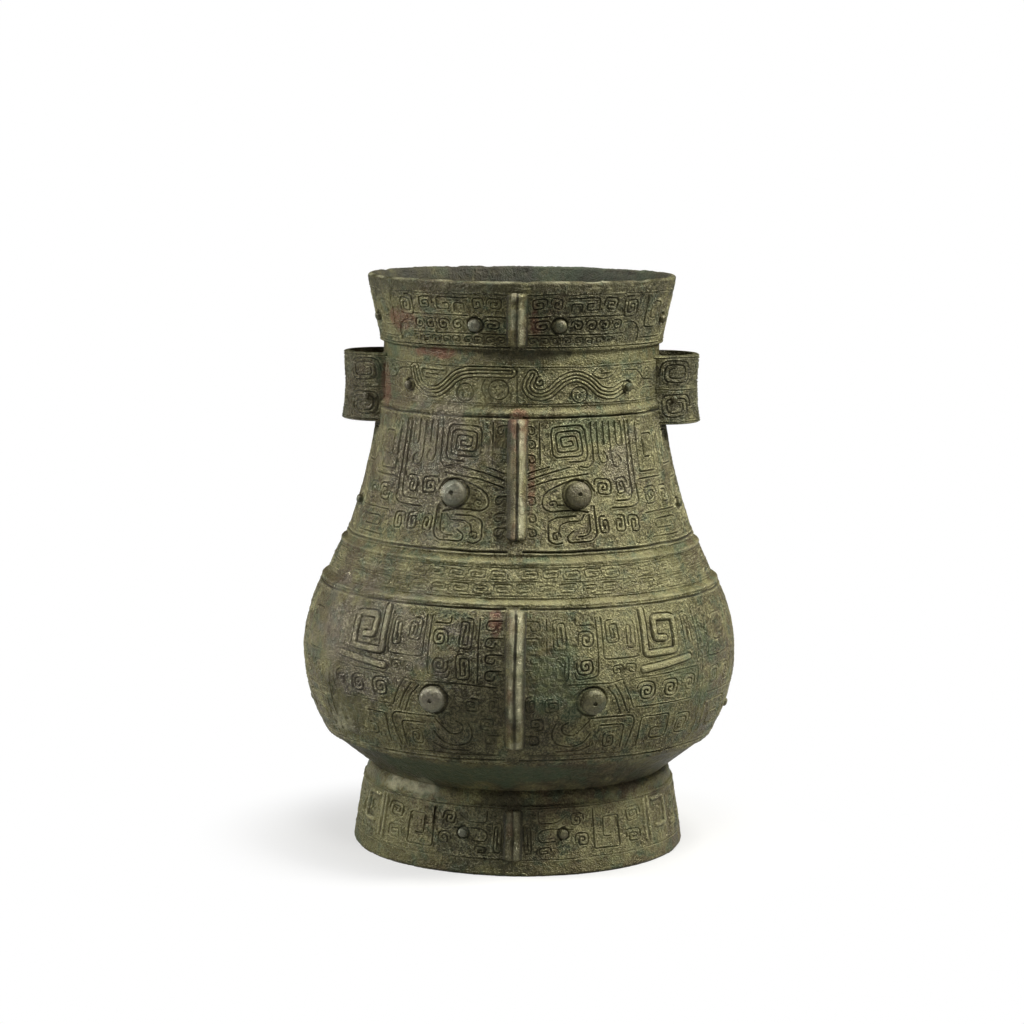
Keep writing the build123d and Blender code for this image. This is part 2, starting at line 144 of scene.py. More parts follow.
class Carving:
    """Height map of one quarter of a tier, in millimetres, over arc length from the flange and height."""

    step = 0.2
    # share of a drawn line's width that is cut, height of the rims beside it, and the deepest cut
    narrowing = 0.74
    rim = 0.28
    deepest = 0.9

    def __init__(self, width, height):
        self.x = np.arange(0, width + self.step, self.step)
        self.y = np.arange(0, height + self.step, self.step)
        self.map = np.zeros((len(self.y), len(self.x)))
        self.free = np.ones(self.map.shape, bool)
        self.size = (width, height)

    def span(self, a, b, reach):
        """First and last index of the map within reach of the stretch from a to b."""
        ends = (min(a, b) - reach, max(a, b) + reach + self.step)
        return (max(int(end / self.step), 0) for end in ends)

    def away(self, x, y):
        """Distance of the map's points from a place."""
        return np.hypot(self.x[None, :] - x, self.y[:, None] - y)

    def near(self, path, reach):
        """Distance to a path, where it is within reach."""
        found = np.full(self.map.shape, 99.0)
        for (x0, y0), (x1, y1) in zip(path[:-1], path[1:]):
            i0, i1 = self.span(x0, x1, reach)
            j0, j1 = self.span(y0, y1, reach)
            across, up = self.x[None, i0:i1] - x0, self.y[j0:j1, None] - y0
            if across.size == 0 or up.size == 0:
                continue
            run, rise = x1 - x0, y1 - y0
            along = np.clip((across * run + up * rise) / max(run * run + rise * rise, 1e-9), 0, 1)
            apart = np.hypot(across - along * run, up - along * rise)
            np.minimum(found[j0:j1, i0:i1], apart, out=found[j0:j1, i0:i1])
        return found

    def cut(self, path, width=1.0, depth=0.6, room=1.0, offsets=(0,)):
        """Grooves along a path, or at offsets to both sides of it, with room kept free of ground.

        All in millimetres, as in the drawings below: each ends with its width, depth and room.
        """
        width = self.narrowing * width
        apart = self.near(np.asarray(path, float), max(offsets) + width + room)
        for offset in offsets:
            off = np.abs(apart - offset)
            self.map -= depth * (1 - smooth(0.2 * width, 0.62 * width, off))
            rise = self.rim * smooth(0.5 * width, 0.8 * width, off)
            self.map += rise * (1 - smooth(0.9 * width, 1.5 * width, off))
        self.free &= apart > max(offsets) + room

    def lift(self, path, width=3.0, height=0.7, room=1.0):
        """A raised band along a path."""
        apart = self.near(np.asarray(path, float), width + room)
        self.map += height * (1 - smooth(0.38 * width, 0.62 * width, apart))
        self.free &= apart > width / 2 + room

    def spare(self, places):
        """Leaves the ground plain round the bosses, with a cut line about each."""
        for x, y, radius in places:
            self.keep(x, y, radius + 0.2)
            line = np.abs(self.away(x, y) - radius - 0.5)
            self.map -= 0.8 * (1 - smooth(0.3, 0.9, line))

    def keep(self, x, y, radius):
        """A place left plain round a boss."""
        apart = self.away(x, y)
        self.map *= smooth(radius, radius + 1.2, apart)
        self.free &= apart > radius + 0.6

    def ground(self, cell, pitch, depth, low, high, left):
        """Thunder pattern: small squared spirals wherever nothing else is drawn."""
        rows = max(int((high - low) / cell), 1)
        rise = (high - low) / rows
        for row in range(rows):
            shift = (row % 2) * cell / 2
            for column in range(int((self.size[0] - left) / cell) + 1):
                x, y = left + shift + (column + 0.5) * cell, low + (row + 0.5) * rise
                i0, i1 = int((x - cell / 2) / self.step), int((x + cell / 2) / self.step)
                j0, j1 = int((y - rise / 2) / self.step), int((y + rise / 2) / self.step)
                spot = self.free[max(j0, 0) : j1, max(i0, 0) : i1]
                if spot.size == 0 or spot.mean() < 0.35:
                    continue
                whole = spot.mean() > 0.8
                turns = 1.7 if whole else 1.2
                size = (cell / 2 - 0.5) * (1 if whole else 0.72)
                start, way = 90 * ((row + column) % 4), 1 - 2 * (column % 2)
                path = scroll(x, y, size, size * rise / cell, turns, start, way, pitch, 6)
                apart = self.near(path, 1.0)
                self.map -= depth * (1 - smooth(0.15, 0.5, apart)) * self.free
        self.map = np.maximum(self.map, -self.deepest)


def neck_carving(width, height, places):
    """One quarter of the horned mask of the neck and the dragon beside it."""
    c = Carving(width, height)
    c.spare(places)
    c.cut([(4.0, height - 1.0), (width, height - 1.0)], 1.6, 0.9, 0.6)
    c.cut([(4.0, 1.4), (width, 1.4)], 1.6, 0.9, 0.6)
    # horn over the eye
    c.cut(scroll(29.5, 57.6, 11.6, 10.2, 3.5, -90, 1, 2.75, 7), 1.15, 0.7, 1.2)
    c.cut(rounded([(43.8, 68), (43.8, 47), (40.5, 44.2), (36, 45.2)]), 1.1, 0.65, 1.0)
    # brow, sloping down to the flange
    c.cut(rounded([(40, 41.2), (33, 40.2), (20, 38.6), (6, 34.2)]), 1.1, 0.7, 0.8)
    c.cut(rounded([(30, 44.6), (20, 42.6), (6, 38.2)]), 1.1, 0.65, 0.8)
    c.cut(rounded([(18.5, 45.4), (12, 43.6), (6, 41.6)]), 1.0, 0.6, 0.8)
    # almond socket of the eye, with a curl at the inner corner
    path = [(42.5, 32), (39.5, 38.2), (30, 38.0), (20.5, 34.5), (14.6, 31.0), (13.6, 24.5), (18, 21.6),
            (24, 22.6), (32, 22.6), (38, 21.0)]
    c.cut(rounded(path, 3.2), 1.2, 0.75, 0.9)
    c.cut(scroll(19.4, 25.9, 2.6, 2.2, 1.2, -30, 1, 2.0, 3), 1.0, 0.65, 0.6)
    c.cut(rounded([(22.0, 25.2), (25.5, 25.6), (27.5, 24.6)]), 0.9, 0.6, 0.6)
    # ear: squared spiral beyond the eye
    c.cut(scroll(48.4, 33.6, 5.4, 5.2, 2.2, 160, -1, 2.3, 5), 1.1, 0.7, 1.0)
    c.cut(scroll(59.6, 33.6, 3.9, 5.2, 1.7, 20, 1, 2.3, 5), 1.1, 0.65, 1.0)
    # body columns with hooked lower ends
    path = [(47.2, 68), (47.2, 50.5), (48.6, 46.6), (52.0, 46.4), (53.0, 50.0), (50.8, 52.5)]
    c.cut(rounded(path), 1.1, 0.65, 1.0)
    path = [(55.6, 68), (55.6, 48), (57.0, 44.0), (61.0, 44.0), (62.2, 48.0), (59.6, 50.4)]
    c.cut(rounded(path), 1.1, 0.65, 1.0)
    c.cut([(51.4, 68), (51.4, 56)], 1.0, 0.6, 0.8)
    c.cut(rounded([(59.6, 68), (59.6, 55.5), (63.5, 54.5), (63.5, 68)]), 1.0, 0.6, 0.8)
    c.cut(rounded([(66.4, 68), (66.4, 30), (64.6, 26.2), (56, 26.2)]), 1.2, 0.7, 1.0)
    c.cut(rounded([(69.6, 68), (69.6, 24.5), (66, 22.6), (52, 22.6)]), 1.1, 0.65, 1.0)
    # jaw: nested hooks and small scrolls below the eye
    path = [(41.6, 24), (41.6, 9.2), (38.2, 6.0), (26.6, 6.0), (25.4, 9.4), (29.4, 12.0)]
    c.cut(rounded(path), 1.1, 0.7, 1.0)
    c.cut(rounded([(38.4, 19.8), (38.4, 11.4), (36.2, 9.0), (31.4, 8.8)]), 1.0, 0.65, 0.9)
    c.cut(rounded([(35.6, 19.8), (33.6, 16.6), (27.5, 17.0), (22.6, 15.4), (21.4, 10.0)]), 1.0, 0.65, 0.9)
    path = [(31.0, 19.6), (21.6, 19.2), (16.8, 17.0), (16.4, 7.4), (20, 5.2), (23.2, 6.2)]
    c.cut(rounded(path), 1.1, 0.7, 0.9)
    c.cut(scroll(20.2, 9.2, 2.4, 2.6, 1.3, 0, 1, 2.0, 4), 0.9, 0.6, 0.7)
    c.cut(scroll(46.6, 14.2, 3.4, 4.8, 1.8, 90, 1, 2.1, 5), 1.0, 0.62, 0.9)
    c.cut(scroll(55.2, 14.2, 3.6, 4.8, 1.8, 90, -1, 2.1, 5), 1.0, 0.62, 0.9)
    c.cut(scroll(64.0, 13.6, 3.8, 5.2, 1.8, 180, -1, 2.1, 5), 1.0, 0.62, 0.9)
    # combs beside the flange
    for y in (11.0, 18.6, 27.4, 49.0, 56.8, 64.0):
        path = [(5.2, y + 2.6), (10.4, y + 2.4), (10.8, y - 1.6), (7.4, y - 1.8), (7.2, y + 0.4)]
        c.cut(rounded(path), 0.95, 0.62, 0.8)
    c.cut(rounded([(13.2, 46.6), (13.2, 68)]), 1.0, 0.6, 0.8)
    # flanking dragon towards the side
    c.cut(rounded(stepped((74.5, 88, 79.5, 84), (66, 40, 60, 47.5))), 1.15, 0.7, 1.0)
    c.cut(rounded([(92.5, 68), (92.5, 36.6), (73, 36.6)]), 1.1, 0.65, 0.9)
    c.cut(scroll(79.4, 27.0, 5.4, 5.6, 2.2, 0, 1, 2.3, 5), 1.1, 0.68, 1.0)
    c.cut(scroll(91.4, 26.6, 4.8, 5.6, 2.0, 180, -1, 2.3, 5), 1.1, 0.68, 1.0)
    c.cut(rounded([(72.6, 18.6), (100, 18.6), (100, 33.6)]), 1.0, 0.62, 0.9)
    c.cut(rounded(stepped((74, 96, 78, 90), (5.4, 14.6, 9.6))), 1.0, 0.62, 0.9)
    c.cut(rounded(stepped((97, 110, 102), (66, 42, 60, 49))), 1.1, 0.66, 1.0)
    c.cut(rounded(stepped((114, 104), (68, 34, 6))), 1.1, 0.66, 0.9)
    c.cut(scroll(112.5, 18.0, 5.2, 9.5, 2.0, 90, 1, 2.3, 5), 1.1, 0.66, 1.0)
    c.ground(5.2, 1.7, 0.24, 3.2, height - 2.6, 4.6)
    c.spare(places)
    return c


def belly_carving(width, height, places):
    """One quarter of the mask of the belly and the dragon beside it."""
    c = Carving(width, height)
    c.spare(places)
    c.cut([(4.0, height - 1.2), (width, height - 1.2)], 1.5, 0.8, 0.6)
    c.cut([(4.0, 3.0), (width, 3.0)], 1.2, 0.7, 0.6)
    c.cut([(6.0, 6.0), (60, 6.0)], 0.9, 0.45, 0.6)
    # raised square horn over the eye
    path = [(72.0, 82), (71.6, 59.5), (91.0, 59.5), (91.6, 76.8), (78.4, 77.6), (78.2, 67.0),
            (84.6, 66.6)]
    horn = rounded(path, 2.0)
    c.lift(horn, 2.6, 1.1, 1.4)
    c.cut(horn, 0.9, 0.6, 1.0, (2.0,))
    # raised brow bar
    brow = rounded([(70.0, 51.6), (84, 53.0), (99.5, 54.6)], 1.2)
    c.lift(brow, 2.8, 1.0, 1.2)
    c.cut(brow, 0.9, 0.5, 1.0, (2.1,))
    # nested squares between horn and flange
    c.cut(scroll(53.6, 72.0, 4.6, 6.4, 2.1, 90, 1, 2.4, 7), 1.05, 0.62, 0.9)
    c.cut(scroll(63.0, 70.0, 3.6, 7.6, 1.7, 90, -1, 2.4, 7), 1.05, 0.62, 0.9)
    c.cut(rounded(stepped((47.4, 68.0), (80, 58.6, 80)), 2.4), 1.1, 0.62, 0.9)
    c.cut(scroll(54.8, 52.4, 3.4, 3.2, 1.5, 0, 1, 2.0, 4), 0.95, 0.6, 0.8)
    c.cut(scroll(62.8, 52.6, 3.4, 3.2, 1.5, 180, -1, 2.0, 4), 0.95, 0.6, 0.8)
    # spirals in a column
    c.cut(scroll(38.6, 69.0, 4.8, 5.0, 2.1, 200, -1, 2.2, 3), 1.1, 0.7, 0.9)
    c.cut(scroll(37.8, 55.4, 4.8, 5.0, 2.1, 160, 1, 2.2, 3), 1.1, 0.7, 0.9)
    c.cut(rounded([(44.4, 80), (44.4, 49.6), (33, 48.4), (32, 52)], 2.4), 1.0, 0.6, 0.8)
    c.cut(rounded([(33.4, 80), (33.4, 76.4), (42, 76.4)], 1.2), 1.0, 0.6, 0.8)
    # tall nested rectangles
    c.cut(scroll(25.0, 71.4, 4.4, 8.4, 2.2, 90, 1, 2.1, 8), 1.0, 0.62, 0.8)
    c.cut(scroll(25.0, 54.2, 4.4, 7.2, 2.2, 90, -1, 2.1, 8), 1.0, 0.62, 0.8)
    # combs beside the flange
    for y in (14.6, 76.0, 67.4, 58.8, 50.2):
        path = [(5.6, y + 3.0), (13.8, y + 2.8), (14.4, y - 1.6), (9.6, y - 2.2), (9.2, y + 0.4)]
        c.cut(rounded(path), 1.05, 0.65, 0.8)
    c.cut([(17.8, 47), (17.8, 80)], 1.0, 0.6, 0.8)
    # lid of the eye and the row of spirals behind it
    c.cut(rounded([(8, 44.6), (24, 45.6), (36, 46.0), (50, 45.4), (58, 47.0)], 2.4), 1.0, 0.6, 0.8)
    c.cut(rounded([(49.0, 43.6), (53.6, 38), (57.6, 28.6)], 1.2), 1.1, 0.7, 0.7)
    c.cut(rounded([(53.0, 44.8), (57.4, 38), (61.0, 29.6)], 1.2), 1.1, 0.7, 0.7)
    c.cut(rounded([(57.6, 46.0), (61.6, 38.6), (64.2, 31.4)], 1.2), 1.0, 0.6, 0.7)
    c.cut(scroll(71.8, 39.6, 5.9, 5.8, 2.5, 160, -1, 2.25, 3), 1.15, 0.75, 0.9)
    c.cut(scroll(86.4, 39.4, 5.4, 5.6, 2.3, 160, -1, 2.25, 3), 1.15, 0.72, 0.9)
    c.cut(scroll(99.6, 40.4, 4.8, 5.2, 2.1, 160, -1, 2.25, 3), 1.1, 0.7, 0.9)
    c.cut(rounded([(64.8, 47.4), (106, 48.6)], 1.2), 1.0, 0.6, 0.8)
    c.cut(rounded([(64.4, 31.2), (104, 31.6), (106.4, 36), (106.4, 48)], 2.4), 1.0, 0.6, 0.8)
    # jaw and fangs
    c.cut(rounded([(40, 27.0), (64.4, 27.0), (66.4, 23.4), (63.6, 8.6)], 2.4), 1.15, 0.72, 0.9)
    c.cut(rounded([(47, 22.6), (60.4, 22.8), (60.0, 9.0)], 2.4), 1.1, 0.7, 0.9)
    c.cut(scroll(52.8, 14.0, 4.0, 4.8, 1.7, 90, 1, 2.2, 4), 1.0, 0.62, 0.8)
    path = [(40.6, 26), (36.0, 20.6), (33.0, 17.0), (27.0, 18.4), (25.2, 23.0), (29.4, 25.4)]
    c.cut(rounded(path, 3.2), 1.1, 0.7, 0.8)
    path = [(42.0, 18.6), (38.0, 12.0), (31.0, 10.6), (22.4, 13.0), (20.6, 19.4), (23.0, 24.6)]
    c.cut(rounded(path, 3.2), 1.1, 0.7, 0.8)
    c.cut(rounded([(44.0, 12.0), (38.0, 8.4), (24, 8.4)], 2.4), 1.0, 0.6, 0.8)
    c.cut(scroll(12.6, 24.4, 4.2, 3.8, 1.9, -90, 1, 2.1, 5), 1.05, 0.66, 0.8)
    c.cut(scroll(9.6, 35.0, 3.4, 4.6, 1.6, 90, 1, 2.1, 5), 0.95, 0.5, 0.8)
    c.cut(scroll(20.6, 34.4, 4.4, 4.0, 1.7, 90, 1, 2.1, 5), 0.95, 0.5, 0.8)
    # back of the head, towards the side
    c.cut([(107.4, 80), (107.4, 52)], 1.2, 0.62, 0.8)
    c.cut([(110.4, 80), (110.4, 8)], 1.2, 0.62, 0.8)
    c.cut(scroll(101.0, 68.0, 3.8, 10.4, 1.9, 90, 1, 2.3, 8), 1.05, 0.62, 0.8)
    c.cut(rounded(stepped((70, 88, 77, 82), (9, 25.4, 12, 18.4)), 2.4), 1.1, 0.66, 0.9)
    c.cut(scroll(98.6, 17.6, 6.4, 6.8, 2.3, 180, -1, 2.4, 5), 1.1, 0.66, 0.9)
    # flanking dragon
    c.cut(rounded(stepped((116, 136, 123, 130), (78, 52, 74, 60)), 2.4), 1.15, 0.68, 0.9)
    c.cut(scroll(121.4, 41.0, 5.4, 5.6, 2.3, 0, 1, 2.3, 4), 1.1, 0.68, 0.9)
    c.cut(scroll(135.0, 40.6, 5.0, 5.6, 2.1, 180, -1, 2.3, 4), 1.1, 0.68, 0.9)
    c.cut(rounded([(114.6, 32), (142, 32), (142, 78)], 2.4), 1.1, 0.64, 0.9)
    c.cut(rounded(stepped((116, 138, 122, 131), (10, 27, 12, 20)), 2.4), 1.1, 0.66, 0.9)
    c.cut(rounded(stepped((147, 158, 152.4), (78, 30, 64, 40)), 2.4), 1.1, 0.66, 0.9)
    c.cut(scroll(152.0, 18.0, 7.4, 7.2, 2.6, 90, 1, 2.4, 5), 1.1, 0.66, 0.9)
    c.cut([(163.4, 80), (163.4, 6)], 1.1, 0.6, 0.8)
    c.ground(5.4, 1.75, 0.24, 4.0, height - 3.0, 4.6)
    c.spare(places)
    return c


def mouth_carving(width, height, places):
    """One quarter of the low mask of the mouth and the dragon beside it."""
    c = Carving(width, height)
    c.spare(places)
    c.cut([(4.0, 1.4), (width, 1.4)], 0.9, 0.5, 0.5)
    c.cut([(4.0, height - 1.2), (width, height - 1.2)], 0.8, 0.3, 0.5)
    c.cut([(5.0, 17.2), (17.5, 17.6)], 1.0, 0.62, 0.7)
    c.cut([(26.5, 17.8), (60.0, 17.8)], 1.0, 0.62, 0.7)
    c.cut([(5.0, 8.2), (60.0, 8.2)], 0.9, 0.5, 0.7)
    # nested squares of the horns
    c.cut(rounded(stepped((26.0, 43.4, 36.4, 39.8), (27.4, 21.0, 24.4)), 1.2), 1.0, 0.66, 0.8)
    c.cut(rounded(stepped((28.0, 33.6), (20.4, 24.6, 20.4)), 1.2), 0.95, 0.62, 0.8)
    c.cut(scroll(50.6, 24.0, 4.4, 4.0, 2.0, 180, -1, 2.0, 6), 1.0, 0.64, 0.8)
    c.cut(scroll(64.0, 22.0, 5.6, 5.8, 2.6, 90, 1, 2.1, 6), 1.05, 0.66, 0.8)
    c.cut(scroll(11.4, 24.0, 4.2, 3.6, 1.8, 0, 1, 2.0, 6), 0.9, 0.55, 0.8)
    c.cut(scroll(20.6, 24.0, 3.4, 3.6, 1.6, 180, -1, 2.0, 6), 0.9, 0.55, 0.8)
    # row of spirals behind the eye
    for x in (32.4, 40.6, 48.4, 55.8):
        c.cut(scroll(x, 12.8, 3.5, 3.3, 1.8, 170, -1, 2.0, 3), 1.0, 0.64, 0.6)
    c.cut(scroll(13.4, 12.8, 4.6, 3.2, 1.7, 0, 1, 2.0, 4), 1.0, 0.6, 0.6)
    # lower row
    for n in range(9):
        x, odd = 8.6 + 6.2 * n, n % 2
        c.cut(scroll(x, 4.9, 2.6, 2.2, 1.4, 180 * odd, 1 - 2 * odd, 1.7, 5), 0.85, 0.5, 0.5)
    # flanking dragon
    c.cut(rounded([(61, 14.0), (67, 14.4), (71.4, 10.4), (71.4, 3.6)], 2.4), 1.0, 0.62, 0.7)
    c.cut(rounded(stepped((75.4, 88.6, 80.2, 84.4), (28, 10.6, 24.0, 15.2)), 2.4), 1.05, 0.66, 0.8)
    c.cut(rounded([(74, 5.0), (96, 5.0), (100.6, 9.2), (100.6, 28)], 2.4), 1.0, 0.62, 0.7)
    c.cut(scroll(107.6, 16.0, 4.8, 9.6, 1.9, 90, 1, 2.2, 6), 1.0, 0.62, 0.8)
    c.ground(4.9, 1.65, 0.24, 2.2, height - 1.8, 4.6)
    c.spare(places)
    return c


def dragon_carving(width, height, right, places):
    """One quarter of the dragon band, whose right and left dragons differ."""
    c = Carving(width, height)
    c.spare(places)
    c.cut([(0, 0.9), (width, 0.9)], 0.8, 0.42, 0.4)
    c.cut([(0, height - 1.1), (width, height - 1.1)], 0.8, 0.42, 0.4)
    c.cut([(0.0, 1.5), (0.0, height - 1.5)], 1.0, 0.55, 0.6)
    if right:
        path = [(8.0, 16.6), (4.6, 10.0), (9.5, 5.2), (17.0, 6.4), (24.0, 13.0), (32.0, 16.2),
                (39.5, 12.8), (45.6, 6.6), (54.5, 5.0), (61.0, 8.6)]
        body = rounded(path, 3.2)
        c.cut(body, 0.95, 0.66, 0.7, (0.9, 2.9))
        c.cut(scroll(12.0, 12.8, 3.0, 2.9, 1.4, 90, 1, 2.1, 3), 1.0, 0.68, 0.5)
        c.cut(scroll(33.6, 5.6, 4.4, 4.2, 0.98, 200, -1, 0.0, 2), 0.95, 0.62, 0.6)
        for x, y in ((32.2, 6.8), (35.0, 6.8), (33.6, 4.2)):
            c.cut([(x, y), (x + 0.05, y)], 1.3, 0.6, 0.2)
        path = [(43.6, 19.2), (40.4, 16.6), (46.0, 13.4), (53.0, 14.6), (57.0, 19.0)]
        c.cut(rounded(path, 2.4), 1.0, 0.64, 0.6)
        c.cut(rounded([(46.8, 18.6), (46.0, 16.4), (52.0, 16.6)], 1.2), 0.9, 0.6, 0.5)
    else:
        path = [(3.2, 17.6), (14.0, 17.8), (26.0, 17.6), (33.0, 15.8), (38.0, 11.0), (43.0, 6.2),
                (51.0, 5.6), (57.6, 9.0), (60.0, 17.6)]
        body = rounded(path, 3.2)
        c.cut(body, 0.95, 0.66, 0.7, (0.9, 2.9))
        for x, y, r in ((9.8, 8.4, 5.4), (28.0, 6.6, 4.8)):
            c.cut(scroll(x, y, r, r, 1.0, 120, 1, 0.0, 2), 1.0, 0.64, 0.6)
            for turn in range(4):
                a = 0.6 + turn * math.pi / 2
                dot = [(x + k * r * math.cos(a), y + k * r * math.sin(a)) for k in (0.42, 0.43)]
                c.cut(dot, 1.3, 0.6, 0.2)
        c.cut(rounded([(17.0, 13.8), (19.4, 9.0), (16.6, 4.2)], 2.4), 1.0, 0.62, 0.6)
        c.cut(rounded([(40.5, 17.6), (55.0, 17.6), (54.0, 13.2), (44.6, 13.0)], 1.2), 1.0, 0.64, 0.6)
        c.cut(rounded([(43.0, 15.4), (51.6, 15.4)], 1.2), 0.9, 0.6, 0.5)
    # claws and curls by the lug
    c.cut(rounded([(62.0, 17.6), (72.0, 17.4), (76.0, 12.0), (86.0, 11.0)], 2.4), 1.0, 0.62, 0.6)
    c.cut(rounded([(71.0, 4.4), (76.0, 7.6), (86.0, 7.0)], 2.4), 1.0, 0.62, 0.6)
    c.cut(scroll(79.0, 15.8, 3.2, 2.4, 1.4, 0, 1, 2.0, 3), 0.9, 0.6, 0.6)
    c.ground(4.9, 1.65, 0.24, 1.6, height - 1.8, 1.4)
    c.spare(places)
    return c


def shoulder_carving(width, height):
    """Two rows of thunder pattern on the shoulder."""
    c = Carving(width, height)
    for y in (0.9, height - 0.9, height * 0.5):
        c.cut([(0, y), (width, y)], 0.8, 0.4, 0.3)
    for row, y in enumerate((height * 0.27, height * 0.73)):
        for n in range(int(width / 11.5) + 1):
            x = 5.5 + 11.5 * n + 3.0 * row
            c.cut(scroll(x, y, 5.2, 3.0, 1.9, 180 * ((n + row) % 2), 1, 1.75, 7), 0.85, 0.46, 0.4)
    return c


def foot_carving(width, height, places):
    """One quarter of the low band of the foot."""
    c = Carving(width, height)
    c.spare(places)
    c.cut([(4.0, height - 1.2), (width, height - 1.2)], 0.9, 0.5, 0.6)
    c.cut([(4.0, 1.0), (width, 1.0)], 0.8, 0.36, 0.6)
    c.cut(scroll(35.0, 21.6, 4.0, 4.2, 1.9, 0, 1, 2.1, 4), 1.05, 0.6, 0.8)
    c.cut(scroll(38.0, 10.6, 4.2, 4.2, 1.9, 180, -1, 2.1, 4), 1.05, 0.6, 0.8)
    c.cut(rounded(stepped((44.6, 60.0, 50.4, 55.0), (27, 5, 22, 11)), 1.2), 1.05, 0.6, 0.8)
    c.cut(rounded([(14.0, 27), (14.0, 20.4), (24.0, 20.4), (30, 24.6)], 2.4), 1.0, 0.56, 0.8)
    path = [(22.4, 10.8), (14.2, 9.6), (13.0, 15.6), (19.4, 17.6), (33.0, 16.6)]
    c.cut(rounded(path, 3.2), 1.0, 0.56, 0.8)
    c.cut(scroll(17.0, 5.2, 3.6, 2.6, 1.4, 0, 1, 2.0, 5), 0.95, 0.5, 0.7)
    c.cut(scroll(8.4, 12.0, 3.0, 8.6, 1.6, 90, 1, 2.1, 7), 0.95, 0.52, 0.7)
    c.cut(scroll(70.0, 20.6, 5.4, 4.8, 2.1, 0, 1, 2.2, 6), 1.05, 0.6, 0.8)
    c.cut(scroll(70.0, 8.8, 5.4, 4.4, 1.9, 180, -1, 2.2, 6), 1.05, 0.6, 0.8)
    for x in (79.0, 82.4):
        c.lift([(x, 27), (x, 5)], 1.7, 0.8, 0.8)
    c.lift(rounded(stepped((86.0, 97.0, 88.4), (26.0, 11.0)), 1.2), 2.0, 0.9, 0.8)
    c.cut(rounded([(87.4, 21.6), (92.8, 21.6), (92.8, 15.4)], 1.2), 1.0, 0.55, 0.8)
    c.cut(scroll(107.4, 15.4, 6.0, 9.6, 2.2, 90, 1, 2.3, 6), 1.05, 0.6, 0.8)
    c.cut(scroll(121.0, 15.4, 4.8, 9.6, 1.8, 90, -1, 2.3, 6), 1.05, 0.6, 0.8)
    c.ground(5.2, 1.7, 0.22, 2.0, height - 2.2, 4.6)
    c.spare(places)
    return c


def lug_carving(width, height):
    """Two rows of spirals round a lug."""
    c = Carving(width, height)
    for y in (1.2, height - 1.2, height * 0.5):
        c.cut([(0, y), (width, y)], 0.8, 0.42, 0.4)
    for x in (width * 0.17, width * 0.5, width * 0.83):
        for n, y in enumerate((height * 0.26, height * 0.75)):
            c.cut(scroll(x, y, width * 0.13, height * 0.19, 2.2, 180 * n, 1 - 2 * n, 2.2, 4), 1.0, 0.6, 0.7)
    c.ground(5.0, 1.7, 0.22, 1.6, height - 1.6, 1.0)
    return c


MOUTH_LOW, MOUTH_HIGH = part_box("mouth_wall")
# Depth of the oval as a share of its width, and length along a quarter of it from the flange
OVAL = (MOUTH_HIGH.y - MOUTH_LOW.y) / (MOUTH_HIGH.x - MOUTH_LOW.x)
TURN = np.linspace(0, math.pi / 2, 2001)
ARC_STEPS = np.hypot(np.cos(TURN[1:]), OVAL * np.sin(TURN[1:])) * (TURN[1] - TURN[0])
ARC = np.concatenate([[0], np.cumsum(ARC_STEPS)])


def tree_of(node):
    """Search tree over a node's faces."""
    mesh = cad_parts[node].data
    return BVHTree.FromPolygons([v.co for v in mesh.vertices], [p.vertices for p in mesh.polygons])


def read_profile(node):
    """Heights with outer and inner half-widths, in millimetres, felt on a node in the lugs' plane."""
    tree = tree_of(node)
    low, high = (end.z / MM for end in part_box(node))
    beyond, aside, least = 0.3, 1e-5, 0.02
    rows = []
    for z in np.arange(low + 0.05, high, 0.2):
        out = tree.ray_cast(Vector((beyond, aside, z * MM)), Vector((-1, 0, 0)))[0]
        inn = tree.ray_cast(Vector((0, aside, z * MM)), Vector((1, 0, 0)))[0]
        if out and inn and out.x > least:
            rows.append((z, out.x / MM, inn.x / MM))
    return np.array(rows)


def columns(start, end, half_width, spacing):
    """Turns from the front, evenly spaced along the wall over quarters start to end, 0 being the right."""
    count = max(int(ARC[-1] * half_width / spacing), 8)
    quarter = np.interp(np.linspace(0, ARC[-1], count + 1), ARC, TURN)
    turns = []
    for n in range(start, end):
        part = quarter if n % 2 == 0 else math.pi - quarter[::-1] - math.pi / 2
        turns.append(n * math.pi / 2 + part[:-1])
    return np.concatenate(turns + [[end * math.pi / 2]])


def folded(turn):
    """Turn from the nearer flange, and whether it lies to the right as seen from its own face."""
    wrapped = (turn + math.pi) % (2 * math.pi) - math.pi
    front = np.abs(wrapped) <= math.pi / 2
    return np.where(front, np.abs(wrapped), math.pi - np.abs(wrapped)), (wrapped > 0) == front


def on_wall(half_width, turn, z):
    """Points of the oval wall, in millimetres."""
    half_width, turn, z = np.broadcast_arrays(half_width, turn, z)
    return np.stack([half_width * np.sin(turn), -OVAL * half_width * np.cos(turn), z], -1)


def lifted(profile, turn):
    """Points on a turned profile and the outward directions there."""
    half, z = profile[:, 0], profile[:, 1]
    run, rise = np.gradient(half), np.gradient(z)
    length = np.maximum(np.hypot(run, rise), 1e-9)
    points = on_wall(half[:, None], turn[None, :], z[:, None])
    side = np.stack([np.sin(turn), -np.cos(turn) / OVAL], -1)
    side /= np.linalg.norm(side, axis=-1, keepdims=True)
    out = np.empty_like(points)
    out[..., :2] = (rise / length)[:, None, None] * side[None]
    out[..., 2] = (-run / length)[:, None]
    return points, out


def sampled(grid, x, y, step):
    """Values of a height map between its points."""
    u = np.clip(x / step, 0, grid.shape[1] - 1.001)
    v = np.clip(y / step, 0, grid.shape[0] - 1.001)
    i, j = u.astype(int), v.astype(int)
    f, g = u - i, v - j
    top = grid[j + 1, i] * (1 - f) + grid[j + 1, i + 1] * f
    return (grid[j, i] * (1 - f) + grid[j, i + 1] * f) * (1 - g) + top * g


